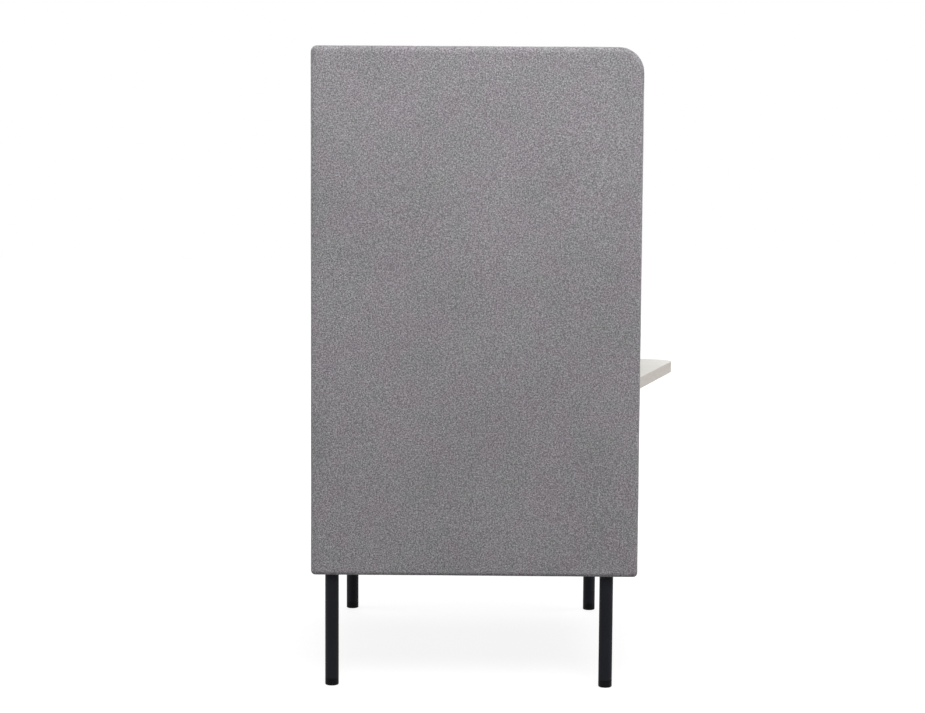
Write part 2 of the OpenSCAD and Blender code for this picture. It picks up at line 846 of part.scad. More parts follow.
module seat_cover() {
    color(fabric_colour)
        difference() {
            seat_cushion_form(0);
            seat_cushion_form(fabric_t);
        }
}

module back_cushion_form(inset) {
    translate([board_front_x + soft_gap, 0, back_cushion_z])
        rotate([0, 90, 0])
            cushion(back_cushion_h, cushion_w, back_cushion_t, back_crown, inset);
}

module cushion_foam() { color(foam_colour) back_cushion_form(fabric_t); }

module cushion_cover() {
    color(fabric_colour)
        difference() {
            back_cushion_form(0);
            back_cushion_form(fabric_t);
        }
}

module cushion_board() {
    board_w = cushion_w - 2 * board_margin;
    color(board_colour)
        translate([board_rear_x, -board_w / 2, back_cushion_low])
            cube([cushion_board_t, board_w, back_cushion_h - board_margin]);
}

module cushion_strips() {
    strip_h = back_cushion_h - 3 * board_margin;
    color(black_plastic_colour)
        for (side = [-1, 1])
            translate([
                back_front_x,
                side * strip_share * cushion_w - strip_w / 2,
                back_cushion_low + board_margin
            ])
                cube([strip_t, strip_w, strip_h]);
}

// Legs
module leg(x, side) {
    color(black_steel_colour)
        difference() {
            rod_z(x, side * side_y, leg_low, panel_lift, leg_r);
            rod_z(x, side * side_y, 0, pod_h, leg_bore_r);
        }
}

module leg_front_right() { leg(leg_x[0], -1); }
module leg_front_left() { leg(leg_x[0], 1); }
module leg_rear_right() { leg(leg_x[1], -1); }
module leg_rear_left() { leg(leg_x[1], 1); }

// Threaded studs, each with the disc that closes the top of its tube
module leg_studs() {
    color(zinc_colour)
        for (side = [-1, 1], x = leg_x) {
            rod_z(x, side * side_y, panel_lift - leg_disc_t, panel_lift, leg_bore_r - seat_fit);
            rod_z(x, side * side_y, panel_lift - leg_disc_t, panel_lift + leg_stud_l, leg_stud_d / 2);
        }
}

module leg_sleeve_nuts() {
    color(zinc_colour)
        for (side = [-1, 1], x = leg_x)
            difference() {
                rod_z(x, side * side_y, core_low_z, core_low_z + sleeve_nut_l, sleeve_nut_r);
                rod_z(x, side * side_y, panel_lift, pod_h, leg_stud_d / 2 + thread_gap);
            }
}

module leg_inserts() {
    color(black_plastic_colour)
        for (side = [-1, 1], x = leg_x)
            difference() {
                rod_z(x, side * side_y, leg_low, leg_low + insert_l, leg_bore_r - seat_fit);
                rod_z(x, side * side_y, 0, pod_h, stem_d / 2 + thread_gap);
            }
}

// Adjustable foot: a cap of the tube's diameter, moulded round its threaded stem
module foot(x, side) {
    color(black_plastic_colour)
        translate([x, side * side_y, 0])
            rotate_extrude()
                polygon([
                    [0, 0],
                    for (i = [0:edge_steps]) let (a = 90 * i / edge_steps)
                        [leg_r - foot_edge_r + foot_edge_r * sin(a), foot_edge_r - foot_edge_r * cos(a)],
                    [leg_r, foot_h],
                    [stem_d / 2, foot_h],
                    [stem_d / 2, foot_h + stem_l],
                    [0, foot_h + stem_l]
                ]);
}

module foot_front_right() { foot(leg_x[0], -1); }
module foot_front_left() { foot(leg_x[0], 1); }
module foot_rear_right() { foot(leg_x[1], -1); }
module foot_rear_left() { foot(leg_x[1], 1); }

// Places what turns with the table: X to its front edge and Y along it, both from the pivot
module on_table() {
    translate([pivot_x, pivot_y, 0]) rotate([0, 0, -table_angle]) children();
}

module rounded_outline(low, high, radius) {
    size = high - low;
    translate([low.x + radius, low.y]) square([size.x - 2 * radius, size.y]);
    translate([low.x, low.y + radius]) square([size.x, size.y - 2 * radius]);
    for (x = [low.x + radius, high.x - radius], y = [low.y + radius, high.y - radius])
        translate([x, y]) circle(radius);
}

module table_outline(inset) {
    rounded_outline(
        [front_reach - table_w + inset, inset - end_reach],
        [front_reach - inset, table_l - end_reach - inset],
        table_corner_r - inset
    );
}

module table_top() {
    color(laminate_colour)
        on_table()
            difference() {
                translate([0, 0, table_low]) linear_extrude(table_t) table_outline(edge_band_t);
                for (p = table_screws_at)
                    rod_z(p.x, p.y, plate_low, table_low + table_screw_bite, screw_hole_r);
            }
}

module table_edge_band() {
    color(band_colour)
        on_table()
            translate([0, 0, table_low])
                linear_extrude(table_t)
                    difference() {
                        table_outline(0);
                        table_outline(edge_band_t);
                    }
}

module table_plate() {
    color(black_steel_colour)
        on_table()
            difference() {
                translate([0, 0, plate_low])
                    linear_extrude(table_plate_t)
                        rounded_outline(
                            [plate_reach - table_plate_w, -plate_reach],
                            [plate_reach, table_plate_l - plate_reach],
                            plate_corner_r
                        );
                for (p = table_screws_at)
                    rod_z(p.x, p.y, plate_low - table_plate_t, table_low + table_plate_t,
                        screw_r + hole_gap);
            }
}

module table_screws() {
    color(zinc_colour)
        on_table()
            for (p = table_screws_at) {
                rod_z(p.x, p.y, plate_low - screw_head_t, plate_low, screw_head_r);
                rod_z(p.x, p.y, plate_low, table_low + table_screw_bite, screw_r);
            }
}

// Pivot: the shaft hangs from the table plate and turns in two bushes in the housing
module pivot_shaft() {
    color(zinc_colour)
        difference() {
            rod_z(pivot_x, pivot_y, shaft_low, plate_low, shaft_r);
            rod_z(pivot_x, pivot_y, shaft_low - bolt_d, shaft_low + shaft_socket_l, nut_bore_r);
        }
}

module thrust_washer() {
    color(nylon_colour)
        difference() {
            rod_z(pivot_x, pivot_y, plate_low - thrust_washer_t, plate_low, housing_r);
            rod_z(pivot_x, pivot_y, housing_low, table_low, bush_bore_r);
        }
}

module pivot_bushes() {
    color(nylon_colour)
        for (end = [-1, 1]) {
            face = end > 0 ? housing_top : housing_low;
            difference() {
                union() {
                    rod_z(pivot_x, pivot_y, face, face + end * bush_flange_t, housing_r);
                    rod_z(pivot_x, pivot_y, face - end * bush_l, face, bush_r);
                }
                rod_z(pivot_x, pivot_y, housing_low - bush_l, table_low, bush_bore_r);
            }
        }
}

module pivot_bracket() {
    color(black_steel_colour)
        difference() {
            union() {
                translate([pivot_x, bracket_face_y, housing_z])
                    rotate([-90, 0, 0])
                        linear_extrude(bracket_plate_t)
                            rounded_outline(
                                [-bracket_plate_w / 2, -bracket_plate_h / 2],
                                [bracket_plate_w / 2, bracket_plate_h / 2],
                                plate_corner_r
                            );
                translate([pivot_x - bracket_web_t / 2, bracket_face_y, housing_low])
                    cube([bracket_web_t, pivot_offset, housing_l]);
                rod_z(pivot_x, pivot_y, housing_low, housing_top, housing_r);
            }
            rod_z(pivot_x, pivot_y, 0, table_h, housing_bore_r);
            bracket_bores();
        }
}

module end_washer() {
    color(zinc_colour)
        difference() {
            rod_z(pivot_x, pivot_y, shaft_low - end_washer_t, shaft_low, bush_r + running_gap);
            rod_z(pivot_x, pivot_y, 0, table_h, bolt_hole_r);
        }
}

module end_screw() {
    head_top = shaft_low - end_washer_t;
    color(zinc_colour) {
        rod_z(pivot_x, pivot_y, head_top - bolt_head_t, head_top, bolt_head_r);
        rod_z(pivot_x, pivot_y, head_top, shaft_low + shaft_socket_l - bolt_d, bolt_r);
    }
}

// Bolts of the table bracket, and the sleeves that carry its load through the padding
module bracket_bolts() {
    head = bracket_face_y + bracket_plate_t;
    color(zinc_colour)
        for (p = bracket_bolts_at) {
            rod_y(p.x, p.y, head, head + bolt_head_t, bolt_head_r);
            rod_y(p.x, p.y, tee_flange_t - timber_outer_y, head, bolt_r);
        }
}

module bracket_sleeves() {
    color(zinc_colour)
        for (p = bracket_bolts_at)
            difference() {
                rod_y(p.x, p.y, bracket_face_y, -side_y + core_t / 2, sleeve_r);
                rod_y(p.x, p.y, 0, -pod_w, bolt_hole_r);
            }
}

right_frame();
right_outer_skin();
right_inner_skin();
right_foam();
right_cover();
left_frame();
left_outer_skin();
left_inner_skin();
left_foam();
left_cover();
back_frame();
back_outer_skin();
back_inner_skin();
back_foam();
back_cover();
frame_bolts();
barrel_nuts();
bracket_block();
seat_front_rail();
seat_rear_rail();
seat_side_rails();
seat_corner_blocks();
seat_deck();
deck_screws();
seat_foam();
seat_cover();
front_pad_foam();
front_pad_cover();
dust_cover();
seat_bolts();
tee_nuts();
cushion_board();
cushion_strips();
cushion_foam();
cushion_cover();
leg_front_right();
leg_front_left();
leg_rear_right();
leg_rear_left();
leg_studs();
leg_sleeve_nuts();
leg_inserts();
foot_front_right();
foot_front_left();
foot_rear_right();
foot_rear_left();
table_top();
table_edge_band();
table_plate();
table_screws();
pivot_shaft();
thrust_washer();
pivot_bushes();
pivot_bracket();
end_washer();
end_screw();
bracket_bolts();
bracket_sleeves();
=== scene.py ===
"""Study pod: upholstery, finishes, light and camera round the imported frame."""

import math

import bpy

from mathutils import Matrix, Vector, noise
from mathutils.bvhtree import BVHTree
from mathutils.kdtree import KDTree


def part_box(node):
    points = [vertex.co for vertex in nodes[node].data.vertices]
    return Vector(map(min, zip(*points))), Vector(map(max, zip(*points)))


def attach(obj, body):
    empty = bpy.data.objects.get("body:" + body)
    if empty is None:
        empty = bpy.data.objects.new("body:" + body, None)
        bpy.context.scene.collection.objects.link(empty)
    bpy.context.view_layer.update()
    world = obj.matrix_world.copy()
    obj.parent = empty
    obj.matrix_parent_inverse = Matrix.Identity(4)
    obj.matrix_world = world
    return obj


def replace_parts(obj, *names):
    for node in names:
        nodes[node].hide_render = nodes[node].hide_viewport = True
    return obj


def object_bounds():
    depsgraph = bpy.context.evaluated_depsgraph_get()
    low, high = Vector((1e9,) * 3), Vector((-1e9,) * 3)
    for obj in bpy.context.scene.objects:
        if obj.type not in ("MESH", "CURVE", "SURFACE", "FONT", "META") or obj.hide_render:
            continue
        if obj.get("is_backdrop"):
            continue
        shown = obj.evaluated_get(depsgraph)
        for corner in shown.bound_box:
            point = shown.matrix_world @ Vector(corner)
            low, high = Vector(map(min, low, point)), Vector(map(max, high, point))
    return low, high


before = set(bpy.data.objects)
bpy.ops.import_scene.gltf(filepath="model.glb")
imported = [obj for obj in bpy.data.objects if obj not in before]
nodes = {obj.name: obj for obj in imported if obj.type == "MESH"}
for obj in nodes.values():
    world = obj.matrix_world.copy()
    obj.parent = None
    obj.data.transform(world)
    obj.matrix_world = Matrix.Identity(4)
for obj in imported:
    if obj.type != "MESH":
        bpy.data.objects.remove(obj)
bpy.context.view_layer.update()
scene = bpy.context.scene


# Sizes in metres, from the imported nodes
def span(node, axis):
    low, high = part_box(node)
    return low[axis], high[axis]


PANEL_LOW, PANEL_TOP = span("right_cover", 2)
PANEL_REAR, PANEL_FRONT = span("right_cover", 0)
SIDE_IN, SIDE_OUT = span("left_cover", 1)
BACK_REAR, BACK_FRONT = span("back_cover", 0)
BACK_HALF = span("back_cover", 1)[1]
MM = 0.001


# Materials
def rgb(r, g, b):
    """Linear colour of an 8-bit sRGB one."""
    return tuple((c / 3294.6 if c <= 10 else ((c / 255 + 0.055) / 1.055) ** 2.4) for c in (r, g, b)) + (1.0,)


class Finish:
    """A procedural material under construction, with its pattern in the row frame's metres."""

    def __init__(self, name):
        self.material = bpy.data.materials.new(name)
        self.material.use_nodes = True
        self.tree = self.material.node_tree
        self.tree.nodes.clear()
        self.out = self.add("ShaderNodeOutputMaterial")
        self.bsdf = self.add("ShaderNodeBsdfPrincipled")
        self.join(self.bsdf.outputs["BSDF"], self.out.inputs["Surface"])
        coord = self.add("ShaderNodeTexCoord")
        self.place = coord.outputs["Object"]
        self.facing = coord.outputs["Normal"]

    def add(self, kind, **settings):
        node = self.tree.nodes.new(kind)
        for key, value in settings.items():
            setattr(node, key, value)
        return node

    def join(self, source, target):
        self.tree.links.new(source, target)

    def fill(self, target, value):
        if isinstance(value, bpy.types.NodeSocket):
            self.join(value, target)
        else:
            target.default_value = value

    def math(self, operation, a, b=0.0, clamp=False):
        node = self.add("ShaderNodeMath", operation=operation, use_clamp=clamp)
        self.fill(node.inputs[0], a)
        self.fill(node.inputs[1], b)
        return node.outputs[0]

    def weighted(self, *parts):
        """The sum of values, each with its weight."""
        total = None
        for value, weight in parts:
            term = self.math("MULTIPLY", value, weight)
            total = term if total is None else self.math("ADD", total, term)
        return total

    def scaled(self, factors, turn=(0, 0, 0)):
        node = self.add("ShaderNodeMapping")
        self.join(self.place, node.inputs["Vector"])
        node.inputs["Scale"].default_value = factors
        node.inputs["Rotation"].default_value = turn
        return node.outputs[0]

    def noise(self, scale, detail=2.0, roughness=0.5, distortion=0.0, vector=None):
        node = self.add("ShaderNodeTexNoise")
        self.join(vector or self.place, node.inputs["Vector"])
        node.inputs["Scale"].default_value = scale
        node.inputs["Detail"].default_value = detail
        node.inputs["Roughness"].default_value = roughness
        node.inputs["Distortion"].default_value = distortion
        return node.outputs["Fac"]

    def cells(self, scale, vector=None):
        node = self.add("ShaderNodeTexVoronoi")
        self.join(vector or self.place, node.inputs["Vector"])
        node.inputs["Scale"].default_value = scale
        return node.outputs["Distance"]

    def between(self, value, low, high, to_low=0.0, to_high=1.0):
        node = self.add("ShaderNodeMapRange", clamp=True)
        self.fill(node.inputs["Value"], value)
        for key, number in (("From Min", low), ("From Max", high), ("To Min", to_low), ("To Max", to_high)):
            node.inputs[key].default_value = number
        return node.outputs[0]

    def ramp(self, value, *stops):
        node = self.add("ShaderNodeValToRGB")
        self.join(value, node.inputs["Fac"])
        ramp = node.color_ramp
        while len(ramp.elements) < len(stops):
            ramp.elements.new(0.5)
        for element, (position, colour) in zip(ramp.elements, stops):
            element.position = position
            element.color = colour
        return node.outputs["Color"]

    def mix(self, factor, a, b, blend="MIX"):
        node = self.add("ShaderNodeMix", data_type="RGBA", blend_type=blend)
        self.fill(node.inputs["Factor"], factor)
        self.fill(node.inputs[6], a)
        self.fill(node.inputs[7], b)
        return node.outputs[2]

    def bump(self, height, distance, strength=1.0, under=None):
        node = self.add("ShaderNodeBump")
        self.join(height, node.inputs["Height"])
        node.inputs["Distance"].default_value = distance
        node.inputs["Strength"].default_value = strength
        if under:
            self.join(under, node.inputs["Normal"])
        return node.outputs["Normal"]

    def surface(self, colour, roughness, normal, **sockets):
        self.fill(self.bsdf.inputs["Base Color"], colour)
        self.fill(self.bsdf.inputs["Roughness"], roughness)
        self.join(normal, self.bsdf.inputs["Normal"])
        for key, value in sockets.items():
            self.bsdf.inputs[key.replace("_", " ")].default_value = value
        return self.material

    def flat_place(self):
        """Coordinates across and along a surface, whichever way it faces."""
        split = self.add("ShaderNodeSeparateXYZ")
        self.join(self.place, split.inputs[0])
        x, y, z = split.outputs
        size = self.add("ShaderNodeVectorMath", operation="ABSOLUTE")
        self.join(self.facing, size.inputs[0])
        faces = self.add("ShaderNodeSeparateXYZ")
        self.join(size.outputs[0], faces.inputs[0])
        squarely = 0.7
        to_x = self.math("GREATER_THAN", faces.outputs[0], squarely)
        to_z = self.math("GREATER_THAN", faces.outputs[2], squarely)
        across = self.math("ADD", x, self.math("MULTIPLY", to_x, self.math("SUBTRACT", y, x)))
        upward = self.math("ADD", z, self.math("MULTIPLY", to_z, self.math("SUBTRACT", y, z)))
        return across, upward


def wool():
    """Grey melange wool: a felted plain weave of light and dark fibres."""
    f = Finish("melange_wool")
    fine = f.noise(560, 0, 0.5)
    clump = f.noise(330, 0, 0.5)
    upright = f.noise(1, 2, 0.6, 0.3, f.scaled((1500, 1500, 260), (0.2, 0.15, 0)))
    level = f.noise(1, 2, 0.6, 0.3, f.scaled((260, 260, 1500), (0.1, -0.2, 0.1)))
    fibres = f.math("MULTIPLY", f.math("ADD", upright, level), 0.5)
    shade = f.weighted((fine, 0.38), (clump, 0.5), (fibres, 0.12))
    colour = f.ramp(
        shade,
        (0.28, rgb(92, 90, 93)),
        (0.42, rgb(122, 119, 123)),
        (0.52, rgb(141, 138, 142)),
        (0.62, rgb(161, 159, 162)),
        (0.76, rgb(190, 188, 190)),
    )
    tint = f.ramp(
        f.noise(17, 2, 0.6),
        (0.36, rgb(252, 255, 252)),
        (0.5, rgb(255, 255, 255)),
        (0.64, rgb(255, 251, 253)),
    )
    colour = f.mix(1.0, colour, tint, "MULTIPLY")
    cloud = f.ramp(f.noise(4.3, 2, 0.55), (0.34, rgb(247, 247, 247)), (0.6, rgb(255, 255, 255)))
    colour = f.mix(1.0, colour, cloud, "MULTIPLY")
    across, upward = f.flat_place()
    weave_pitch = 0.0023
    turn = 2 * math.pi / weave_pitch
    weave = f.math(
        "MULTIPLY",
        f.math("SINE", f.math("MULTIPLY", across, turn)),
        f.math("SINE", f.math("MULTIPLY", upward, turn)),
    )
    height = f.weighted((weave, 0.16), (fine, 0.5), (fibres, 0.4))
    normal = f.bump(height, 0.0006, 0.4, f.bump(clump, 0.001, 0.3))
    rough = f.between(fine, 0.3, 0.7, 0.84, 0.98)
    return f.surface(colour, rough, normal, Sheen_Weight=0.35, Sheen_Roughness=0.4, Specular_IOR_Level=0.25)


def piping_wool():
    """The same wool on the bias, as a seam's welt."""
    f = Finish("melange_wool_welt")
    fine = f.noise(820, 3, 0.65)
    fibres = f.noise(1, 2, 0.6, 0.4, f.scaled((900, 900, 900), (0.5, 0.4, 0.7)))
    shade = f.weighted((fine, 0.5), (fibres, 0.5))
    colour = f.ramp(
        shade, (0.34, rgb(70, 69, 72)), (0.5, rgb(128, 126, 129)), (0.68, rgb(200, 198, 199))
    )
    normal = f.bump(shade, 0.0006, 0.8)
    rough = f.between(fine, 0.3, 0.7, 0.86, 0.98)
    return f.surface(colour, rough, normal, Sheen_Weight=0.35, Sheen_Roughness=0.4, Specular_IOR_Level=0.25)


def thread():
    f = Finish("sewing_thread")
    twist = f.noise(2600, 1, 0.5)
    colour = f.ramp(twist, (0.35, rgb(96, 95, 98)), (0.65, rgb(134, 132, 135)))
    return f.surface(colour, f.between(twist, 0.3, 0.7, 0.5, 0.7), f.bump(twist, 0.0002), Sheen_Weight=0.1)


def foam():
    f = Finish("open_cell_foam")
    pores = f.cells(900)
    shade = f.weighted((pores, 0.7), (f.noise(60, 3, 0.6), 0.5))
    colour = f.ramp(shade, (0.2, rgb(246, 238, 196)), (0.55, rgb(236, 224, 176)), (0.8, rgb(205, 190, 140)))
    rough = f.between(pores, 0, 1, 0.85, 1.0)
    return f.surface(colour, rough, f.bump(pores, 0.0008, 0.8), Specular_IOR_Level=0.2)


def timber():
    f = Finish("planed_pine")
    long = f.noise(1, 4, 0.6, 1.1, f.scaled((46, 46, 5)))
    fine = f.noise(1, 3, 0.6, 0.0, f.scaled((900, 900, 60)))
    rings = f.math("FRACT", f.math("MULTIPLY", long, 9))
    shade = f.weighted((rings, 0.5), (fine, 0.5))
    colour = f.ramp(shade, (0.1, rgb(226, 194, 146)), (0.5, rgb(211, 172, 120)), (0.85, rgb(176, 130, 80)))
    return f.surface(colour, f.between(fine, 0.3, 0.7, 0.55, 0.75), f.bump(shade, 0.0004, 0.5))


def board():
    f = Finish("birch_plywood_and_board")
    split = f.add("ShaderNodeSeparateXYZ")
    f.join(f.place, split.inputs[0])
    two_plies = 0.003
    ply = f.math("SINE", f.math("MULTIPLY", split.outputs[2], 2 * math.pi / two_plies))
    grain = f.noise(1, 4, 0.6, 0.9, f.scaled((22, 180, 22)))
    chips = f.noise(420, 3, 0.7)
    shade = f.weighted((grain, 0.6), (chips, 0.4))
    colour = f.ramp(shade, (0.3, rgb(214, 184, 140)), (0.5, rgb(196, 160, 112)), (0.7, rgb(160, 122, 78)))
    colour = f.mix(f.between(ply, 0.2, 0.9, 0.0, 0.18), colour, rgb(120, 84, 50))
    return f.surface(colour, f.between(chips, 0.3, 0.7, 0.6, 0.85), f.bump(shade, 0.0003, 0.6))


def powder_coat():
    f = Finish("black_powder_coat")
    grit = f.noise(1500, 2, 0.5)
    orange_peel = f.noise(420, 2, 0.45)
    scuff = f.noise(1, 3, 0.7, 0.6, f.scaled((30, 30, 9)))
    colour = f.ramp(f.weighted((grit, 0.6), (scuff, 0.4)),
                    (0.34, rgb(17, 18, 23)), (0.52, rgb(23, 24, 30)), (0.7, rgb(33, 34, 40)))
    rough = f.between(f.math("ADD", grit, scuff), 0.7, 1.3, 0.5, 0.66)
    normal = f.bump(grit, 0.00035, 0.5, f.bump(orange_peel, 0.0008, 0.35))
    return f.surface(colour, rough, normal, Specular_IOR_Level=0.12)


def zinc():
    f = Finish("zinc_plate")
    grain = f.noise(240, 3, 0.6)
    brushed = f.noise(1, 2, 0.6, 0.2, f.scaled((700, 700, 2600)))
    colour = f.ramp(grain, (0.3, rgb(176, 179, 182)), (0.55, rgb(196, 199, 202)), (0.75, rgb(212, 213, 212)))
    rough = f.between(f.math("ADD", grain, brushed), 0.7, 1.3, 0.24, 0.42)
    return f.surface(colour, rough, f.bump(brushed, 0.0002, 0.4), Metallic=1.0)


def plastic():
    f = Finish("black_moulded_plastic")
    grain = f.cells(1300)
    flow = f.noise(40, 2, 0.5)
    colour = f.ramp(f.weighted((grain, 0.4), (flow, 0.6)),
                    (0.25, rgb(6, 6, 8)), (0.6, rgb(9, 9, 11)), (0.85, rgb(16, 16, 19)))
    rough = f.between(flow, 0.3, 0.7, 0.42, 0.56)
    return f.surface(colour, rough, f.bump(grain, 0.00025, 0.5), Specular_IOR_Level=0.09)


def nylon():
    f = Finish("natural_nylon")
    haze = f.noise(130, 3, 0.6)
    colour = f.ramp(haze, (0.35, rgb(222, 221, 212)), (0.65, rgb(236, 235, 228)))
    return f.surface(colour, f.between(haze, 0.3, 0.7, 0.34, 0.5), f.bump(haze, 0.0002, 0.4),
                     Subsurface_Weight=0.08, Subsurface_Scale=0.002)


def laminate():
    """Off-white matt laminate with a faint pearl and pressed grain."""
    f = Finish("off_white_laminate")
    pearl = f.noise(700, 3, 0.6)
    cloud = f.noise(9, 2, 0.5)
    use = f.noise(1, 3, 0.65, 0.5, f.scaled((16, 5, 16), (0, 0, 0.3)))
    colour = f.ramp(f.weighted((pearl, 0.55), (cloud, 0.45)),
                    (0.34, rgb(208, 206, 198)), (0.52, rgb(213, 211, 204)), (0.7, rgb(218, 216, 210)))
    rough = f.between(f.math("ADD", pearl, use), 0.7, 1.3, 0.36, 0.52)
    return f.surface(colour, rough, f.bump(pearl, 0.00025, 0.35), Specular_IOR_Level=0.45)


def edge_band():
    """Grey-beige plastic edging with faint lengthwise streaks."""
    f = Finish("grey_beige_edge_band")
    streak = f.noise(1, 3, 0.6, 0.0, f.scaled((24, 24, 900)))
    speck = f.noise(520, 2, 0.6)
    colour = f.ramp(f.weighted((streak, 0.6), (speck, 0.4)),
                    (0.32, rgb(176, 167, 159)), (0.5, rgb(197, 189, 181)), (0.68, rgb(212, 206, 200)))
    rough = f.between(f.math("ADD", streak, speck), 0.7, 1.3, 0.4, 0.56)
    return f.surface(colour, rough, f.bump(streak, 0.00015, 0.4), Specular_IOR_Level=0.4)


def spun_cloth():
    """Black non-woven cloth with its pattern of heat-bonded points."""
    f = Finish("black_spunbond_cloth")
    across, upward = f.flat_place()
    dot_pitch = 0.0018
    turn = 2 * math.pi / dot_pitch
    dots = f.math(
        "MULTIPLY",
        f.math("SINE", f.math("MULTIPLY", f.math("ADD", across, upward), turn)),
        f.math("SINE", f.math("MULTIPLY", f.math("SUBTRACT", across, upward), turn)),
    )
    fibres = f.noise(1400, 3, 0.7, 1.0)
    shade = f.math("ADD", f.math("MULTIPLY", dots, 0.2), fibres)
    colour = f.ramp(shade, (0.3, rgb(20, 20, 21)), (0.55, rgb(34, 34, 36)), (0.8, rgb(58, 58, 61)))
    rough = f.between(fibres, 0.3, 0.7, 0.75, 0.95)
    return f.surface(colour, rough, f.bump(shade, 0.0003, 0.8), Sheen_Weight=0.1)


def hook_strip():
    """Touch and close strip: rows of fine loops."""
    f = Finish("touch_and_close_strip")
    loops = f.cells(1100)
    rows = f.noise(1, 2, 0.6, 0.2, f.scaled((300, 900, 300)))
    shade = f.weighted((loops, 0.6), (rows, 0.4))
    colour = f.ramp(shade, (0.3, rgb(46, 46, 48)), (0.6, rgb(28, 28, 30)), (0.8, rgb(16, 16, 17)))
    rough = f.between(rows, 0.3, 0.7, 0.8, 0.95)
    return f.surface(colour, rough, f.bump(loops, 0.0007, 0.9), Sheen_Weight=0.2)


WOOL = wool()
WELT = piping_wool()
THREAD = thread()
COAT = powder_coat()
ZINC = zinc()
LAMINATE = laminate()
BAND = edge_band()
SPUN = spun_cloth()
by_slot = {
    "cover_fabric": WOOL, "foam": foam(), "board": board(), "timber": timber(), "black_steel": COAT,
    "zinc_steel": ZINC, "black_plastic": plastic(), "nylon": nylon(), "table_laminate": LAMINATE,
    "edge_band": BAND, "dust_cloth": SPUN, "strip_cloth": hook_strip(),
}
for node in nodes.values():
    slot_name = node.data.materials[0].name
    node.data.materials.clear()
    node.data.materials.append(by_slot[slot_name])


# Meshes
def piece(name, points, faces, material, body="pod", smooth=True):
    mesh = bpy.data.meshes.new(name)
    mesh.from_pydata([tuple(p) for p in points], [], faces)
    mesh.validate()
    mesh.update()
    mesh.polygons.foreach_set("use_smooth", [smooth] * len(mesh.polygons))
    mesh.materials.append(material)
    made = bpy.data.objects.new(name, mesh)
    scene.collection.objects.link(made)
    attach(made, body)
    return made


def finer(made, levels=1):
    modifier = made.modifiers.new("Subdivision", "SUBSURF")
    modifier.levels = modifier.render_levels = levels
    return made


def tube(path, radius, sides=8, closed=True, ripple=None):
    """Points and faces of a round bead along a path."""
    points, faces = [], []
    count = len(path)
    normal = None
    for i, p in enumerate(path):
        ahead = path[(i + 1) % count] if closed or i + 1 < count else p
        behind = path[i - 1] if closed or i else p
        along = (ahead - behind).normalized()
        if normal is None:
            normal = along.orthogonal().normalized()
        normal = (normal - normal.dot(along) * along).normalized()
        across = along.cross(normal)
        r = radius * (ripple(i) if ripple else 1.0)
        for k in range(sides):
            a = 2 * math.pi * k / sides
            points.append(p + (math.cos(a) * normal + math.sin(a) * across) * r)
    for i in range(count if closed else count - 1):
        for k in range(sides):
            a, b = i * sides + k, i * sides + (k + 1) % sides
            c, d = (a + sides) % (count * sides), (b + sides) % (count * sides)
            faces.append((a, b, d, c))
    if closed:
        # The frame carried round the loop has turned a little, so the last ring is matched to the first
        last, first = (count - 1) * sides, 0
        shift = min(range(sides), key=lambda s: (points[last + s] - points[first]).length)
        faces = faces[: (count - 1) * sides]
        for k in range(sides):
            a, b = last + (k + shift) % sides, last + (k + 1 + shift) % sides
            faces.append((a, b, (k + 1) % sides, k))
    else:
        faces.append(tuple(range(sides))[::-1])
        faces.append(tuple(range((count - 1) * sides, count * sides)))
    return points, faces


def add_part(points, faces, part):
    """Adds a part's points and faces to the lists of a larger mesh."""
    more, loops = part
    faces += [tuple(len(points) + k for k in loop) for loop in loops]
    points += more


CORNERS = ((-1, -1), (1, -1), (1, 1), (-1, 1))


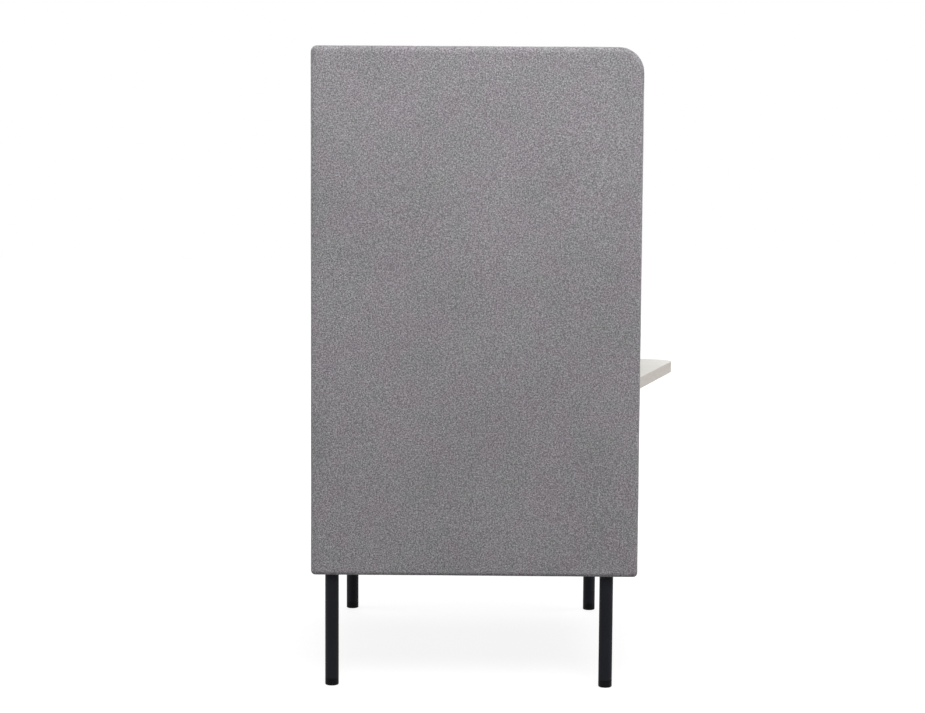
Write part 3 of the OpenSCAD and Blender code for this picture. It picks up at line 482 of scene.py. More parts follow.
class Slab:
    """An upholstered board: nine patches a face, round corners, a rounded rim and a seam along it.

    Across and up lie in the board's plane, and the board's outer face is on the side of the third axis."""

    def __init__(self, across, up, thick, radii, edge, cell, corner_cells=5, rim_steps=4, seam=None):
        self.half = (across / 2, up / 2)
        self.thick = thick / 2
        self.radii = radii
        self.edges = [min(edge, 0.9 * r) for r in radii]
        self.k = corner_cells
        self.nx = max(2, round(across / cell))
        self.ny = max(2, round(up / cell))
        self.rim_steps = rim_steps
        self.seam = seam
        self.centres = [
            Vector((sx * (self.half[0] - r), sy * (self.half[1] - r))) for (sx, sy), r in zip(CORNERS, radii)
        ]

    def weights(self, i, j):
        """Shares of the four corners at a grid point, and its steps beyond the middle patch."""
        s = min(max((i - self.k) / self.nx, 0), 1)
        t = min(max((j - self.k) / self.ny, 0), 1)
        a = max(self.k - i, i - self.k - self.nx, 0) / self.k * (-1 if i < self.k else 1)
        b = max(self.k - j, j - self.k - self.ny, 0) / self.k * (-1 if j < self.k else 1)
        return ((1 - s) * (1 - t), s * (1 - t), s * t, (1 - s) * t), a, b

    def flat_point(self, i, j):
        """(place on the face, outward direction, rim radius) of a grid point."""
        shares, a, b = self.weights(i, j)
        base = sum((w * c for w, c in zip(shares, self.centres)), Vector((0, 0)))
        radius = sum(w * r for w, r in zip(shares, self.radii))
        edge = sum(w * e for w, e in zip(shares, self.edges))
        bow = Vector((a * math.sqrt(1 - b * b / 2), b * math.sqrt(1 - a * a / 2)))
        out = bow.normalized() if bow.length else bow
        return base + bow * (radius - edge), out, edge

    def build(self):
        """Points, faces, and each point's normal and distance from the seam along the rim."""
        columns, rows = self.nx + 2 * self.k, self.ny + 2 * self.k
        points, normals, seams, faces, index = [], [], [], [], {}

        def put(p, n, d):
            points.append(Vector(p))
            normals.append(Vector(n))
            seams.append(d)
            return len(points) - 1

        for side in (1, -1):
            for j in range(rows + 1):
                for i in range(columns + 1):
                    p, _, _ = self.flat_point(i, j)
                    index[side, i, j] = put((p.x, p.y, side * self.thick), (0, 0, side), 1.0)
            for j in range(rows):
                for i in range(columns):
                    cell = ((i, j), (i + 1, j), (i + 1, j + 1), (i, j + 1))
                    loop = [index[side, a, b] for a, b in cell]
                    faces.append(loop if side > 0 else loop[::-1])
        border = (
            [(i, 0) for i in range(columns)]
            + [(columns, j) for j in range(rows)]
            + [(i, rows) for i in range(columns, 0, -1)]
            + [(0, j) for j in range(rows, 0, -1)]
        )
        stations = self.stations()
        rings = [[index[1, i, j] for i, j in border]]
        for turn, level, from_seam in stations:
            ring = []
            for i, j in border:
                p, out, edge = self.flat_point(i, j)
                if turn is None:
                    place, height = p + out * edge, level * (self.thick - edge)
                    n = (out.x, out.y, 0)
                else:
                    side = 1 if turn > 0 else -1
                    a = abs(turn)
                    place = p + out * edge * math.sin(a)
                    height = side * (self.thick - edge + edge * math.cos(a))
                    n = (out.x * math.sin(a), out.y * math.sin(a), side * math.cos(a))
                ring.append(put((place.x, place.y, height), n, from_seam))
            rings.append(ring)
        rings.append([index[-1, i, j] for i, j in border])
        for one, two in zip(rings, rings[1:]):
            for k in range(len(border)):
                m = (k + 1) % len(border)
                faces.append((one[k], two[k], two[m], one[m]))
        return points, faces, normals, seams

    def stations(self):
        """Rings of the rim from the outer face to the inner one: (turn, level, distance from the seam)."""
        n = self.rim_steps
        quarter = [math.pi / 2 * k / n for k in range(1, n)]
        made = [(a, None, 1.0) for a in quarter]
        if self.seam is None:
            made += [(None, s, 1.0) for s in (1.0, 0.33, -0.33, -1.0)]
        else:
            level, step = self.seam
            made += [(None, s, 1.0) for s in (1.0, 0.45, -0.1) if s > level + 4 * step]
            made += [(None, level + d * step, abs(d)) for d in (2.5, 1.0, 0.0, -1.0, -2.5)]
            if level - 4 * step > -1:
                made.append((None, -1.0, 1.0))
        made += [(-a, None, 1.0) for a in reversed(quarter)]
        return made


def hills(p, size, seed):
    """Smooth unevenness from -1 to 1."""
    return noise.noise((p + Vector((seed, 2.3 * seed, -seed))) / size)


# Widths of the covers' broad and small unevenness
BROAD, SMALL = 0.19, 0.075


def upholster(name, slab, matrix, replaced, seed, swell=0.0, hollows=(), groove=1.1 * MM, soft=0.55 * MM):
    """Builds a slab in the row frame, with its unevenness, its seam's groove and what presses into it."""
    points, faces, normals, seams = slab.build()
    turn = matrix.to_3x3()
    placed = []
    for p, n, d in zip(points, normals, seams):
        world, out = matrix @ p, turn @ n
        lift = soft * (0.62 * hills(world, BROAD, seed) + 0.38 * hills(world, SMALL, seed + 5)) - 0.5 * soft
        fx, fy = 1 - (p.x / slab.half[0]) ** 2, 1 - (p.y / slab.half[1]) ** 2
        lift += swell * max(fx, 0) * max(fy, 0) * abs(n.z)
        if d != 1.0:
            lift -= groove * math.exp(-2.2 * d * d) - 0.35 * groove * math.exp(-((d - 2.2) ** 2))
        for low, high, depth, blur in hollows:
            away = max(max(low[a] - world[a], world[a] - high[a]) for a in range(3))
            press = 1 - min(max(away / blur, 0), 1)
            lift -= depth * press ** 2 * (3 - 2 * press)
        placed.append(world + out * lift)
    made = piece(name, placed, faces, WOOL)
    finer(made)
    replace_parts(made, *replaced)
    return made


def standing_side(side):
    """The outer face away from the pod's middle."""
    middle = ((PANEL_REAR + PANEL_FRONT) / 2, side * (SIDE_IN + SIDE_OUT) / 2, (PANEL_LOW + PANEL_TOP) / 2)
    return Matrix.Translation(middle) @ Matrix(((1, 0, 0, 0), (0, 0, side, 0), (0, 1, 0, 0), (0, 0, 0, 1)))


plate_low, plate_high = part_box("pivot_bracket")
plate_high = Vector((plate_high.x, plate_low.y + 2 * MM, plate_high.z))
plate_low = plate_low - Vector((0, 4 * MM, 0))

# The front corner is read from the photograph, and is a little fuller than the frame's
LOWER_R, REAR_R, FRONT_R = 10 * MM, 14 * MM, 55 * MM
RIM, CELL = 13 * MM, 13 * MM
# The seam's level on the rim and the step of its rings, as shares of half the board's thickness
SEAM = (-0.86, 0.11)
for side, name in ((-1, "right"), (1, "left")):
    board_form = Slab(
        PANEL_FRONT - PANEL_REAR, PANEL_TOP - PANEL_LOW, SIDE_OUT - SIDE_IN,
        (LOWER_R, LOWER_R, FRONT_R, REAR_R), RIM, CELL, seam=SEAM,
    )
    upholster(
        f"{name}_panel_cover", board_form, standing_side(side), (f"{name}_cover", f"{name}_foam"), 3 + side,
        hollows=[(plate_low, plate_high, 0.9 * MM, 14 * MM)] if side < 0 else (),
    )

back_middle = ((BACK_REAR + BACK_FRONT) / 2, 0, (PANEL_LOW + PANEL_TOP) / 2)
back_turn = Matrix(((0, 0, -1, 0), (-1, 0, 0, 0), (0, 1, 0, 0), (0, 0, 0, 1)))
upholster(
    "back_panel_cover",
    Slab(
        2 * BACK_HALF, PANEL_TOP - PANEL_LOW, BACK_FRONT - BACK_REAR,
        (LOWER_R, LOWER_R, REAR_R, REAR_R), RIM, CELL, seam=SEAM,
    ),
    Matrix.Translation(back_middle) @ back_turn, ("back_cover", "back_foam"), 11,
)

pad_low, pad_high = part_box("front_pad_cover")
pad_turn = Matrix(((0, 0, 1, 0), (1, 0, 0, 0), (0, 1, 0, 0), (0, 0, 0, 1)))
upholster(
    "seat_front_cover",
    Slab(
        pad_high.y - pad_low.y, pad_high.z - pad_low.z, pad_high.x - pad_low.x,
        (6 * MM,) * 4, 6 * MM, 10 * MM, corner_cells=2,
    ),
    Matrix.Translation((pad_low + pad_high) / 2) @ pad_turn, ("front_pad_cover", "front_pad_foam"), 17,
    swell=1.2 * MM, soft=0.8 * MM,
)


def deck_cloth(low, high, seat_rear, rear):
    """The front cover's cloth where it is pulled back over the deck, under both cushions."""
    points, faces = [], []
    profile = [
        (high.x - 5 * MM, high.z - 1.6 * MM),
        (high.x - 6 * MM, high.z - 0.5 * MM),
        (high.x - 8 * MM, high.z + 0.3 * MM),
        (low.x, high.z + 0.6 * MM),
        (seat_rear + 2 * MM, high.z + 0.6 * MM),
        (seat_rear - 2 * MM, high.z + 0.25 * MM),
        (rear, high.z + 0.25 * MM),
        (rear, high.z + 0.05 * MM),
        (low.x + 0.5 * MM, high.z + 0.1 * MM),
        (high.x - 8 * MM, high.z - 2.6 * MM),
    ]
    steps = 60
    end = span("seat_deck", 1)[1] - 0.1 * MM
    for k in range(steps + 1):
        points += [Vector((x, end * (2 * k / steps - 1), z)) for x, z in profile]
    n = len(profile)
    for k in range(steps):
        for m in range(n):
            a, b = k * n + m, k * n + (m + 1) % n
            faces.append((a, b, b + n, a + n))
    faces += [tuple(range(n))[::-1], tuple(range(steps * n, steps * n + n))]
    piece("seat_deck_cloth", points, faces, WOOL)


deck_cloth(pad_low, pad_high, span("seat_cover", 0)[0], BACK_FRONT + 1.5 * MM)


def wrapped_board(low, high, over):
    """The back cushion's cloth where it goes round the cushion's board."""
    low = low - Vector((over, over, 0.02 * MM))
    high = high + Vector((0.2 * MM, over, over))
    size = high - low
    slab = Slab(size.y, size.z, size.x, (2.4 * MM,) * 4, 1.2 * MM, 12 * MM, corner_cells=2)
    points, faces, _, _ = slab.build()
    place = Matrix.Translation((low + high) / 2) @ pad_turn
    finer(piece("back_cushion_board_cloth", [place @ p for p in points], faces, WOOL))


wrapped_board(*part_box("cushion_board"), 1 * MM)


# Seat and back cushions
def evaluated_mesh(made):
    scene.view_layers[0].update()
    graph = bpy.context.evaluated_depsgraph_get()
    return bpy.data.meshes.new_from_object(made.evaluated_get(graph))


def cushion_start(name, node, voxel):
    """The foam's form as one even skin."""
    made = bpy.data.objects.new(name, nodes[node].data.copy())
    scene.collection.objects.link(made)
    made.modifiers.new("Weld", "WELD").merge_threshold = 0.0001
    remesh = made.modifiers.new("Remesh", "REMESH")
    remesh.mode = "VOXEL"
    remesh.voxel_size = voxel
    made.data = evaluated_mesh(made)
    made.modifiers.clear()
    return made


def eased(value, low, high, margin):
    """Keeps a coordinate between two planes, turning softly within the margin."""
    if value > high - margin:
        return high - margin * math.exp(-(value - high + margin) / margin)
    if value < low + margin:
        return low + margin * math.exp(-(low + margin - value) / margin)
    return value


def swell_cushions(cushions, cap, frames=20):
    """Blows the cushions up between their seams, all in one run of the simulation."""
    starts = {}
    for made, held, guide in cushions:
        near = near_points([guide])
        group = made.vertex_groups.new(name="held")
        group.add(
            [v.index for v in made.data.vertices if held(v.co) or near.find(v.co)[2] < 6 * MM], 1.0, "REPLACE"
        )
        starts[made] = [v.co.copy() for v in made.data.vertices]
        cloth = made.modifiers.new("Cloth", "CLOTH")
        settings = cloth.settings
        settings.quality = 4
        settings.mass = 0.25
        settings.tension_stiffness = settings.compression_stiffness = 12
        settings.shear_stiffness = 6
        settings.bending_stiffness = 1.2
        settings.use_pressure = True
        settings.uniform_pressure_force = 4
        settings.effector_weights.gravity = 0
        settings.vertex_group_mass = "held"
        cloth.point_cache.frame_start = 1
        cloth.point_cache.frame_end = frames
    scene.frame_start, scene.frame_end = 1, frames
    for step in range(1, frames + 1):
        scene.frame_set(step)
    for made, _, _ in cushions:
        mesh = evaluated_mesh(made)
        for v, start in zip(mesh.vertices, starts[made]):
            move = v.co - start
            if move.length:
                v.co = start + move * (cap * math.tanh(move.length / cap) / move.length)
        made.modifiers.clear()
        made.vertex_groups.clear()
        made.data = mesh
    scene.frame_set(1)


def ring_of(low, high, inset, radius, level, axes, steps=150):
    """Guide points round a cushion, drawn in between the corners."""
    a, b, c = axes
    half = ((high[a] - low[a]) / 2 - inset, (high[b] - low[b]) / 2 - inset)
    middle = ((high[a] + low[a]) / 2, (high[b] + low[b]) / 2)
    straight = (2 * (half[0] - radius), 2 * (half[1] - radius))
    arc = math.pi / 2 * radius
    total = 2 * (straight[0] + straight[1]) + 4 * arc
    made = []
    for k in range(steps):
        s = total * k / steps
        for q in range(4):
            run = straight[1] if q % 2 == 0 else straight[0]
            if s < run or s < run + arc:
                break
            s -= run + arc
        along = half[1] if q % 2 == 0 else half[0]
        out = half[0] if q % 2 == 0 else half[1]
        if s < run:
            u, v = out, s - (along - radius)
        else:
            t = (s - run) / radius
            u, v = out - radius + radius * math.cos(t), along - radius + radius * math.sin(t)
        for _ in range(q):
            u, v = -v, u
        point = Vector((0, 0, 0))
        point[a], point[b], point[c] = middle[0] + u, middle[1] + v, level
        made.append(point)
    return made


def near_points(paths):
    found = KDTree(sum(len(path) for path in paths))
    for n, p in enumerate(p for path in paths for p in path):
        found.insert(p, n)
    found.balance()
    return found


def smoothed(path, rounds=4):
    for _ in range(rounds):
        path = [(path[i - 1] + 2 * p + path[(i + 1) % len(path)]) / 4 for i, p in enumerate(path)]
    return path


def respaced(path, pitch):
    """The closed path with points at an even pitch."""
    lengths = [(path[(i + 1) % len(path)] - p).length for i, p in enumerate(path)]
    total = sum(lengths)
    count = max(12, round(total / pitch))
    made, i, run = [], 0, 0.0
    for k in range(count):
        s = total * k / count
        while run + lengths[i] < s:
            run += lengths[i]
            i += 1
        share = (s - run) / lengths[i]
        made.append(path[i].lerp(path[(i + 1) % len(path)], share))
    return made


def skin_of(mesh):
    return BVHTree.FromPolygons([v.co for v in mesh.vertices], [tuple(p.vertices) for p in mesh.polygons])


def sew(made, guides, welt_r, dip, reach):
    """Draws the skin in along its seams, and gives the line of a welt in each, and the skin."""
    tree = skin_of(made.data)
    seams = []
    for guide in guides:
        on_skin = [tree.find_nearest(p)[0] for p in guide]
        seams.append(respaced(smoothed(on_skin), 4 * MM))
    near = near_points(seams)
    mesh = made.data
    normals = [v.normal.copy() for v in mesh.vertices]
    for v, normal in zip(mesh.vertices, normals):
        away = near.find(v.co)[2]
        if away < 4 * reach:
            fold = 0.35 * dip * hills(v.co, 0.016, 31) * math.exp(-((away / reach / 2.2) ** 2))
            v.co -= normal * (dip * math.exp(-((away / reach) ** 2)) + fold)
    mesh.update()
    tree = skin_of(mesh)
    lines = []
    for seam in seams:
        line = []
        for p in seam:
            spot, normal = tree.find_nearest(p)[:2]
            line.append((spot + normal * 0.5 * welt_r, normal))
        lines.append(line)
    return lines, tree


def welts(name, lines, radius):
    points, faces = [], []
    for line in lines:
        add_part(points, faces, tube(smoothed([p for p, _ in line], 2), radius, 8))
    return piece(name, points, faces, WELT)


def topstitch(name, lines, tree, centre, offset, pitch, length, radius):
    """Rows of single stitches beside the seams, on the skin towards the centre."""
    points, faces = [], []
    for line in lines:
        path = []
        for i, (p, normal) in enumerate(line):
            along = (line[(i + 1) % len(line)][0] - line[i - 1][0]).normalized()
            inward = normal.cross(along)
            if inward.dot(centre - p) < 0:
                inward.negate()
            path.append(p + inward * offset)
        path = respaced(smoothed(path, 3), pitch)
        for i, p in enumerate(path):
            along = (path[(i + 1) % len(path)] - path[i - 1]).normalized()
            spot, normal = tree.find_nearest(p)[:2]
            ends = [spot + along * length * s for s in (-0.5, -0.32, 0, 0.32, 0.5)]
            lift = [-0.6, 0.25, 0.45, 0.25, -0.6]
            stitch = [e + normal * radius * h for e, h in zip(ends, lift)]
            add_part(points, faces, tube(stitch, radius, 6, closed=False))
    return piece(name, points, faces, THREAD)


def seams_of(low, high, axes):
    """A cushion's two seams: round its crowned face, and round its flat one."""
    out = axes[2]
    return [
        ring_of(low, high, 4 * MM, 20 * MM, high[out] - 14 * MM, axes),
        ring_of(low, high, 2 * MM, 22 * MM, low[out] + 5 * MM, axes),
    ]


seat_low, seat_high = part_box("seat_cover")
rest_low, rest_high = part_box("cushion_cover")
VOXEL = 7 * MM
FLAT_EDGE = 6 * MM
MOST_SWELL = 20 * MM
WELT_R = 2.6 * MM
seat_seams = seams_of(seat_low, seat_high, (0, 1, 2))
rest_seams = seams_of(rest_low, rest_high, (1, 2, 0))
seat = cushion_start("seat_cushion", "seat_foam", VOXEL)
rest = cushion_start("back_cushion", "cushion_foam", VOXEL)
swell_cushions(
    [
        (seat, lambda p: p.z < seat_low.z + FLAT_EDGE, seat_seams[0]),
        (rest, lambda p: p.x < rest_low.x + FLAT_EDGE, rest_seams[0]),
    ],
    MOST_SWELL,
)
for made, low, high in (
    (seat, seat_low + Vector((0, 0, 0.7 * MM)), seat_high + Vector((0, 0, 14 * MM))),
    (rest, rest_low, rest_high + Vector((12 * MM, 0, 0))),
):
    for v in made.data.vertices:
        v.co = Vector([eased(v.co[a], low[a], high[a], 3 * MM) for a in range(3)])
    smooth = made.modifiers.new("Smooth", "SMOOTH")
    smooth.factor, smooth.iterations = 0.5, 2
    finer(made)
    made.data = evaluated_mesh(made)
    made.modifiers.clear()

for made, guides, node_names in (
    (seat, seat_seams, ("seat_cover", "seat_foam")),
    (rest, rest_seams, ("cushion_cover", "cushion_foam")),
):
    centre = sum((v.co for v in made.data.vertices), Vector()) / len(made.data.vertices)
    lines, skin = sew(made, guides, WELT_R, dip=3.6 * MM, reach=5.5 * MM)
    made.data.materials.clear()
    made.data.materials.append(WOOL)
    made.data.polygons.foreach_set("use_smooth", [True] * len(made.data.polygons))
    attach(made, "pod")
    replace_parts(made, *node_names)
    welts(made.name + "_welt", lines, WELT_R)
    topstitch(
        made.name + "_topstitch", lines[:1], skin, centre,
        offset=8 * MM, pitch=4.6 * MM, length=3.3 * MM, radius=0.5 * MM,
    )


# Dust cover under the seat, stapled to the rails
def sag_sheet():
    """The cloth between the seat's rails, and the staples round its edge."""
    low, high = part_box("dust_cover")
    rear_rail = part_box("seat_rear_rail")[1]
    inner_low = Vector((rear_rail.x, -rear_rail.y))
    inner_high = Vector((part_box("seat_front_rail")[0].x, rear_rail.y))
    columns, rows = 44, 52
    hem, deepest = 2 * MM, 3.2 * MM
    points, faces = [], []
    for j in range(rows + 1):
        for i in range(columns + 1):
            x = low.x + hem + (high.x - low.x - 2 * hem) * i / columns
            y = low.y + hem + (high.y - low.y - 2 * hem) * j / rows
            s = min(max((x - inner_low.x) / (inner_high.x - inner_low.x), 0), 1)
            t = min(max((y - inner_low.y) / (inner_high.y - inner_low.y), 0), 1)
            sag = deepest * (math.sin(math.pi * s) * math.sin(math.pi * t)) ** 0.7
            edge = min(s, 1 - s, t, 1 - t)
            along = x if min(t, 1 - t) < min(s, 1 - s) else y
            pull = 0.5 * MM * math.sin(along * 78) * math.exp(-edge * 14) if edge > 0 else 0
            uneven = 0.25 * MM * hills(Vector((x, y, 0)), 0.05, 7) * min(1, edge * 30)
            points.append((x, y, high.z - 0.45 * MM - sag - abs(pull) + uneven))
    for j in range(rows):
        for i in range(columns):
            a = j * (columns + 1) + i
            faces.append((a, a + columns + 1, a + columns + 2, a + 1))
    made = piece("seat_dust_cloth", points, faces, SPUN)
    finer(made)
    solid = made.modifiers.new("Solidify", "SOLIDIFY")
    solid.thickness, solid.offset = 0.4 * MM, 0
    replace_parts(made, "dust_cover")
    low_z = high.z - 0.75 * MM
    inset, pitch, shift = 11 * MM, 0.07, -0.05
    runs = []
    for x in (low.x + inset, high.x - inset):
        runs += [(Vector((x, k * pitch, low_z)), Vector((0, 1, 0))) for k in range(-4, 5)]
    for y in (low.y + inset, high.y - inset):
        runs += [(Vector((shift + k * pitch, y, low_z)), Vector((1, 0, 0))) for k in range(-3, 4)]
    # Along the rail and up, in millimetres
    bends = ((-5, 3), (-5, 0.2), (-4.4, -0.35), (4.4, -0.35), (5, 0.2), (5, 3))
    points, faces = [], []
    for spot, along in runs:
        path = [spot + along * a * MM + Vector((0, 0, b * MM)) for a, b in bends]
        add_part(points, faces, tube(path, 0.45 * MM, 6, closed=False))
    staples = piece("seat_dust_cloth_staples", points, faces, ZINC)


sag_sheet()


# Crisp but broken edges on the rigid pieces that show
def broken_edges(node, width, segments=2):
    made = nodes[node]
    made.modifiers.new("Weld", "WELD").merge_threshold = 0.00002
    bevel = made.modifiers.new("Bevel", "BEVEL")
    bevel.width, bevel.segments = width, segments
    bevel.limit_method, bevel.angle_limit = "ANGLE", math.radians(40)
    bevel.use_clamp_overlap = True
    bevel.harden_normals = True


for node in ("pivot_bracket", "table_plate"):
    broken_edges(node, 0.7 * MM)
for node in ("table_edge_band", "thrust_washer", "pivot_bushes", "end_washer", "pivot_shaft"):
    broken_edges(node, 0.4 * MM)


# Screws with their drives, and the bracket's welds
def head_places(node, axis, way):
    """The middle of each screw's head on its outer face."""
    points = [v.co.copy() for v in nodes[node].data.vertices]
    far = way * max(way * p[axis] for p in points)
    groups = []
    for p in points:
        if abs(p[axis] - far) < 0.05 * MM:
            for group in groups:
                if (p - group[0]).length < 15 * MM:
                    group.append(p)
                    break
            else:
                groups.append([p])
    return [Vector([(min(p[a] for p in g) + max(p[a] for p in g)) / 2 for a in range(3)]) for g in groups]


def screw_head(spot, outward, radius, height, recess, depth, crown, knurl):
    """Points and faces of a screw's head whose outer face is at the spot."""
    count = 48
    side = outward.orthogonal().normalized()
    other = outward.cross(side)
    inner = [recess(2 * math.pi * k / count) for k in range(count)]
    opening = max(inner) + 0.25 * MM
    rings = [
        [(radius - 0.2 * MM, -height)] * count,
        [(radius - (knurl if k % 2 else 0), -height + 0.3 * MM) for k in range(count)],
        [(radius - (knurl if k % 2 else 0), -crown) for k in range(count)],
        [(radius - 0.12 * crown, -0.55 * crown)] * count,
        [(radius - 0.45 * crown, -0.16 * crown)] * count,
        [(radius - 0.9 * crown, 0)] * count,
        [(opening, 0)] * count,
        [(r, -0.25 * MM) for r in inner],
        [(r * 0.97, -depth) for r in inner],
    ]
    points, faces = [], []
    for ring in rings:
        for k, (r, h) in enumerate(ring):
            a = 2 * math.pi * k / count
            points.append(spot + outward * h + (side * math.cos(a) + other * math.sin(a)) * r)
    for n in range(len(rings) - 1):
        for k in range(count):
            m = (k + 1) % count
            faces.append((n * count + k, n * count + m, (n + 1) * count + m, (n + 1) * count + k))
    last = (len(rings) - 1) * count
    points.append(spot - outward * (depth + 0.3 * MM))
    faces += [(last + k, last + (k + 1) % count, len(points) - 1) for k in range(count)]
    faces.append(tuple(range(count))[::-1])
    return points, faces


def hexagon(flats):
    return lambda a: flats / 2 / math.cos((a + math.pi / 6) % (math.pi / 3) - math.pi / 6)


def cross(reach, arm):
    return lambda a: arm + (reach - arm) * max(0.0, math.cos(4 * a)) ** 3


def screws(name, node, axis, way, head, body):
    outward = Vector([way if a == axis else 0 for a in range(3)])
    points, faces = [], []
    for spot in head_places(node, axis, way):
        add_part(points, faces, screw_head(spot, outward, *head))
    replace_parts(piece(name, points, faces, ZINC, body, smooth=False), node)


# Radius, height, recess with its depth, crown and knurling of a head
CAP_HEAD = (6.4 * MM, 6.4 * MM, hexagon(5 * MM), 3.6 * MM, 0.9 * MM, 0.16 * MM)
PAN_HEAD = (4.5 * MM, 2.5 * MM, cross(2.5 * MM, 0.7 * MM), 1.6 * MM, 1.6 * MM, 0.0)
screws("bracket_bolt_heads", "bracket_bolts", 1, 1, CAP_HEAD, "pod")
screws("end_screw_head", "end_screw", 2, -1, CAP_HEAD, "tablet")
screws("table_screw_heads", "table_screws", 2, -1, PAN_HEAD, "tablet")


def weld_beads():
    """Rippled beads down both sides of the bracket's web, at its plate and at its housing."""
    low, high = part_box("pivot_bracket")
    shaft_low, shaft_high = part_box("pivot_shaft")
    pivot = (shaft_low + shaft_high) / 2
    housing_r = high.y - pivot.y
    half = 6 * MM
    web_low = low.z + 15 * MM
    bottom, top = web_low + 2.5 * MM, web_low + 107.5 * MM
    steps = 84

    def ripple(i):
        return 1 + 0.1 * abs(math.sin(i * 0.9))

    points, faces = [], []
    for side in (-1, 1):
        for y in (low.y + 6.6 * MM, pivot.y - math.sqrt(housing_r ** 2 - half ** 2) - 0.4 * MM):
            path = []
            for k in range(steps + 1):
                z = bottom + (top - bottom) * k / steps
                sway = 0.25 * MM * hills(Vector((side, y * 10, z)), 0.009, 3)
                path.append(Vector((pivot.x + side * (half + 0.3 * MM) + sway, y + sway, z)))
            add_part(points, faces, tube(path, 2.3 * MM, 10, closed=False, ripple=ripple))
    piece("bracket_welds", points, faces, COAT)


weld_beads()


# Camera, fitted to the photograph's edges
PIXELS, WIDE, SENSOR = 2282.0, 925, 36
EYE = (-0.04125, -5.3314, 1.2572)
pitch, yaw, roll = (math.radians(a) for a in (6.091, -0.5215, -0.35))
forward = Vector((math.sin(yaw) * math.cos(pitch), math.cos(yaw) * math.cos(pitch), -math.sin(pitch)))
right = forward.cross(Vector((0, 0, 1))).normalized()
down = forward.cross(right)
rolled_right = math.cos(roll) * right + math.sin(roll) * down
rolled_down = -math.sin(roll) * right + math.cos(roll) * down
lens = bpy.data.cameras.new("camera")
lens.sensor_fit, lens.sensor_width = "HORIZONTAL", SENSOR
lens.lens = PIXELS * SENSOR / WIDE
lens.clip_start, lens.clip_end = 0.05, 100
camera = bpy.data.objects.new("camera", lens)
scene.collection.objects.link(camera)
axes = Matrix((rolled_right, -rolled_down, -forward)).transposed()
camera.matrix_world = Matrix.Translation(EYE) @ axes.to_4x4()
scene.camera = camera


# Floor, world and lamps
def white_to_camera(tree, seen, unseen, target):
    """Shows one shader to camera, glossy and transmission rays and another to the rest."""
    path = tree.nodes.new("ShaderNodeLightPath")
    share = path.outputs["Is Camera Ray"]
    for ray in ("Is Glossy Ray", "Is Transmission Ray"):
        either = tree.nodes.new("ShaderNodeMath")
        either.operation = "MAXIMUM"
        tree.links.new(share, either.inputs[0])
        tree.links.new(path.outputs[ray], either.inputs[1])
        share = either.outputs[0]
    mix = tree.nodes.new("ShaderNodeMixShader")
    tree.links.new(share, mix.inputs[0])
    tree.links.new(unseen, mix.inputs[1])
    tree.links.new(seen, mix.inputs[2])
    tree.links.new(mix.outputs[0], target)


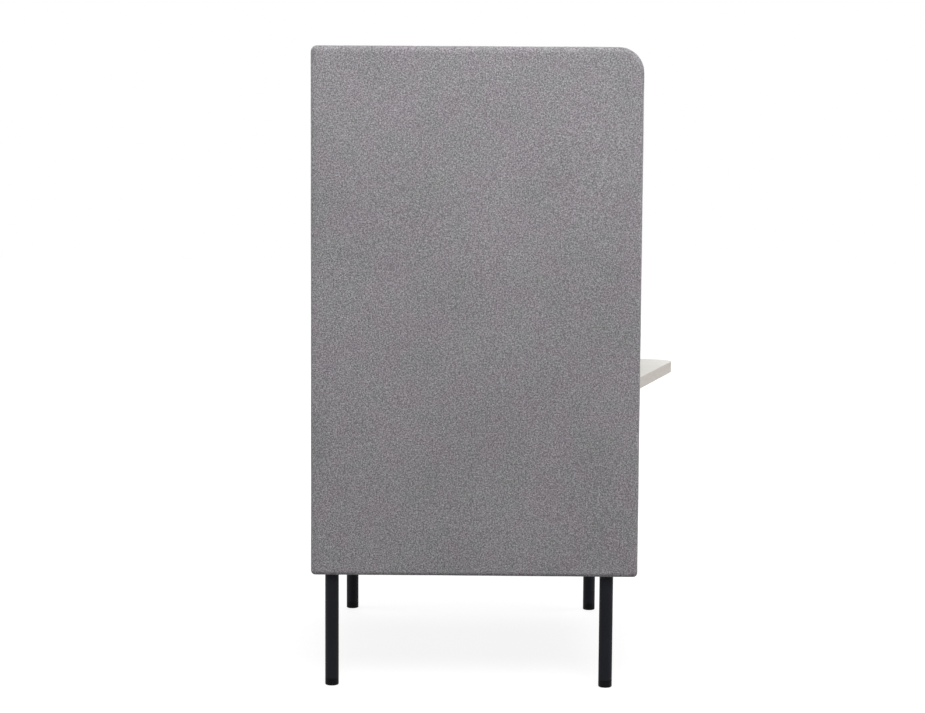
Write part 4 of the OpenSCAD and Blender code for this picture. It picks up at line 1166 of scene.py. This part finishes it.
def lay_floor(half):
    """A pale floor, whiter away from the object, so that the backdrop is even."""
    finish = bpy.data.materials.new("pale_floor")
    finish.use_nodes = True
    tree = finish.node_tree
    tree.nodes.clear()
    output = tree.nodes.new("ShaderNodeOutputMaterial")
    pale = tree.nodes.new("ShaderNodeBsdfDiffuse")
    pale.inputs["Color"].default_value = (0.28, 0.28, 0.28, 1)
    shown = tree.nodes.new("ShaderNodeBsdfDiffuse")
    shown.inputs["Color"].default_value = (0.22, 0.22, 0.22, 1)
    glow = tree.nodes.new("ShaderNodeEmission")
    coord = tree.nodes.new("ShaderNodeTexCoord")
    distance = tree.nodes.new("ShaderNodeVectorMath")
    distance.operation = "LENGTH"
    tree.links.new(coord.outputs["Object"], distance.inputs[0])
    fade = tree.nodes.new("ShaderNodeMapRange")
    fade.interpolation_type = "SMOOTHSTEP"
    tree.links.new(distance.outputs["Value"], fade.inputs["Value"])
    for key, number in (("From Min", 0.5), ("From Max", 2.6), ("To Min", 0.84), ("To Max", 1.0)):
        fade.inputs[key].default_value = number
    tree.links.new(fade.outputs[0], glow.inputs["Strength"])
    both = tree.nodes.new("ShaderNodeAddShader")
    tree.links.new(shown.outputs[0], both.inputs[0])
    tree.links.new(glow.outputs[0], both.inputs[1])
    white_to_camera(tree, both.outputs[0], pale.outputs[0], output.inputs["Surface"])

    mesh = bpy.data.meshes.new("floor")
    mesh.from_pydata([(half * x, half * y, 0) for x, y in CORNERS], [], [(0, 1, 2, 3)])
    mesh.materials.append(finish)
    floor = bpy.data.objects.new("floor", mesh)
    scene.collection.objects.link(floor)
    floor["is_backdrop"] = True


def light_world():
    """White behind the object, and a grey dome, lighter overhead, that lights it."""
    world = bpy.data.worlds.new("studio")
    scene.world = world
    world.use_nodes = True
    tree = world.node_tree
    tree.nodes.clear()
    output = tree.nodes.new("ShaderNodeOutputWorld")
    seen = tree.nodes.new("ShaderNodeBackground")
    seen.inputs["Color"].default_value = (1, 1, 1, 1)
    coord = tree.nodes.new("ShaderNodeTexCoord")
    split = tree.nodes.new("ShaderNodeSeparateXYZ")
    tree.links.new(coord.outputs["Generated"], split.inputs[0])
    ramp = tree.nodes.new("ShaderNodeValToRGB")
    lift = tree.nodes.new("ShaderNodeMath")
    lift.operation = "MULTIPLY_ADD"
    lift.inputs[1].default_value, lift.inputs[2].default_value = 0.5, 0.5
    tree.links.new(split.outputs[2], lift.inputs[0])
    tree.links.new(lift.outputs[0], ramp.inputs[0])
    for element, (position, grey) in zip(ramp.color_ramp.elements, ((0.42, 0.115), (0.9, 0.385))):
        element.position = position
        element.color = (grey, grey, grey, 1)
    dome = tree.nodes.new("ShaderNodeBackground")
    tree.links.new(ramp.outputs[0], dome.inputs["Color"])
    white_to_camera(tree, seen.outputs[0], dome.outputs[0], output.inputs["Surface"])


def softbox(name, place, aim, size, power):
    lamp = bpy.data.lights.new(name, "AREA")
    lamp.shape, lamp.size, lamp.size_y = "RECTANGLE", size[0], size[1]
    lamp.energy = power
    made = bpy.data.objects.new(name, lamp)
    made.location = place
    made.rotation_euler = (Vector(aim) - Vector(place)).to_track_quat("-Z", "Y").to_euler()
    scene.collection.objects.link(made)


lay_floor(14)
light_world()
softbox("key", (0.3, -2.5, 3.3), (0, -0.3, 1.15), (2.4, 2.0), 121)
softbox("front", (3.7, 0.55, 2.0), (0, 0, 0.8), (2.0, 2.0), 56)
softbox("rear", (-3.7, 0.55, 2.0), (0, 0, 0.8), (2.0, 2.0), 54)
softbox("far", (-0.2, 2.7, 3.7), (0, 0, 0.8), (2.4, 2.0), 56)

scene.view_settings.view_transform = "Standard"

low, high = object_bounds()
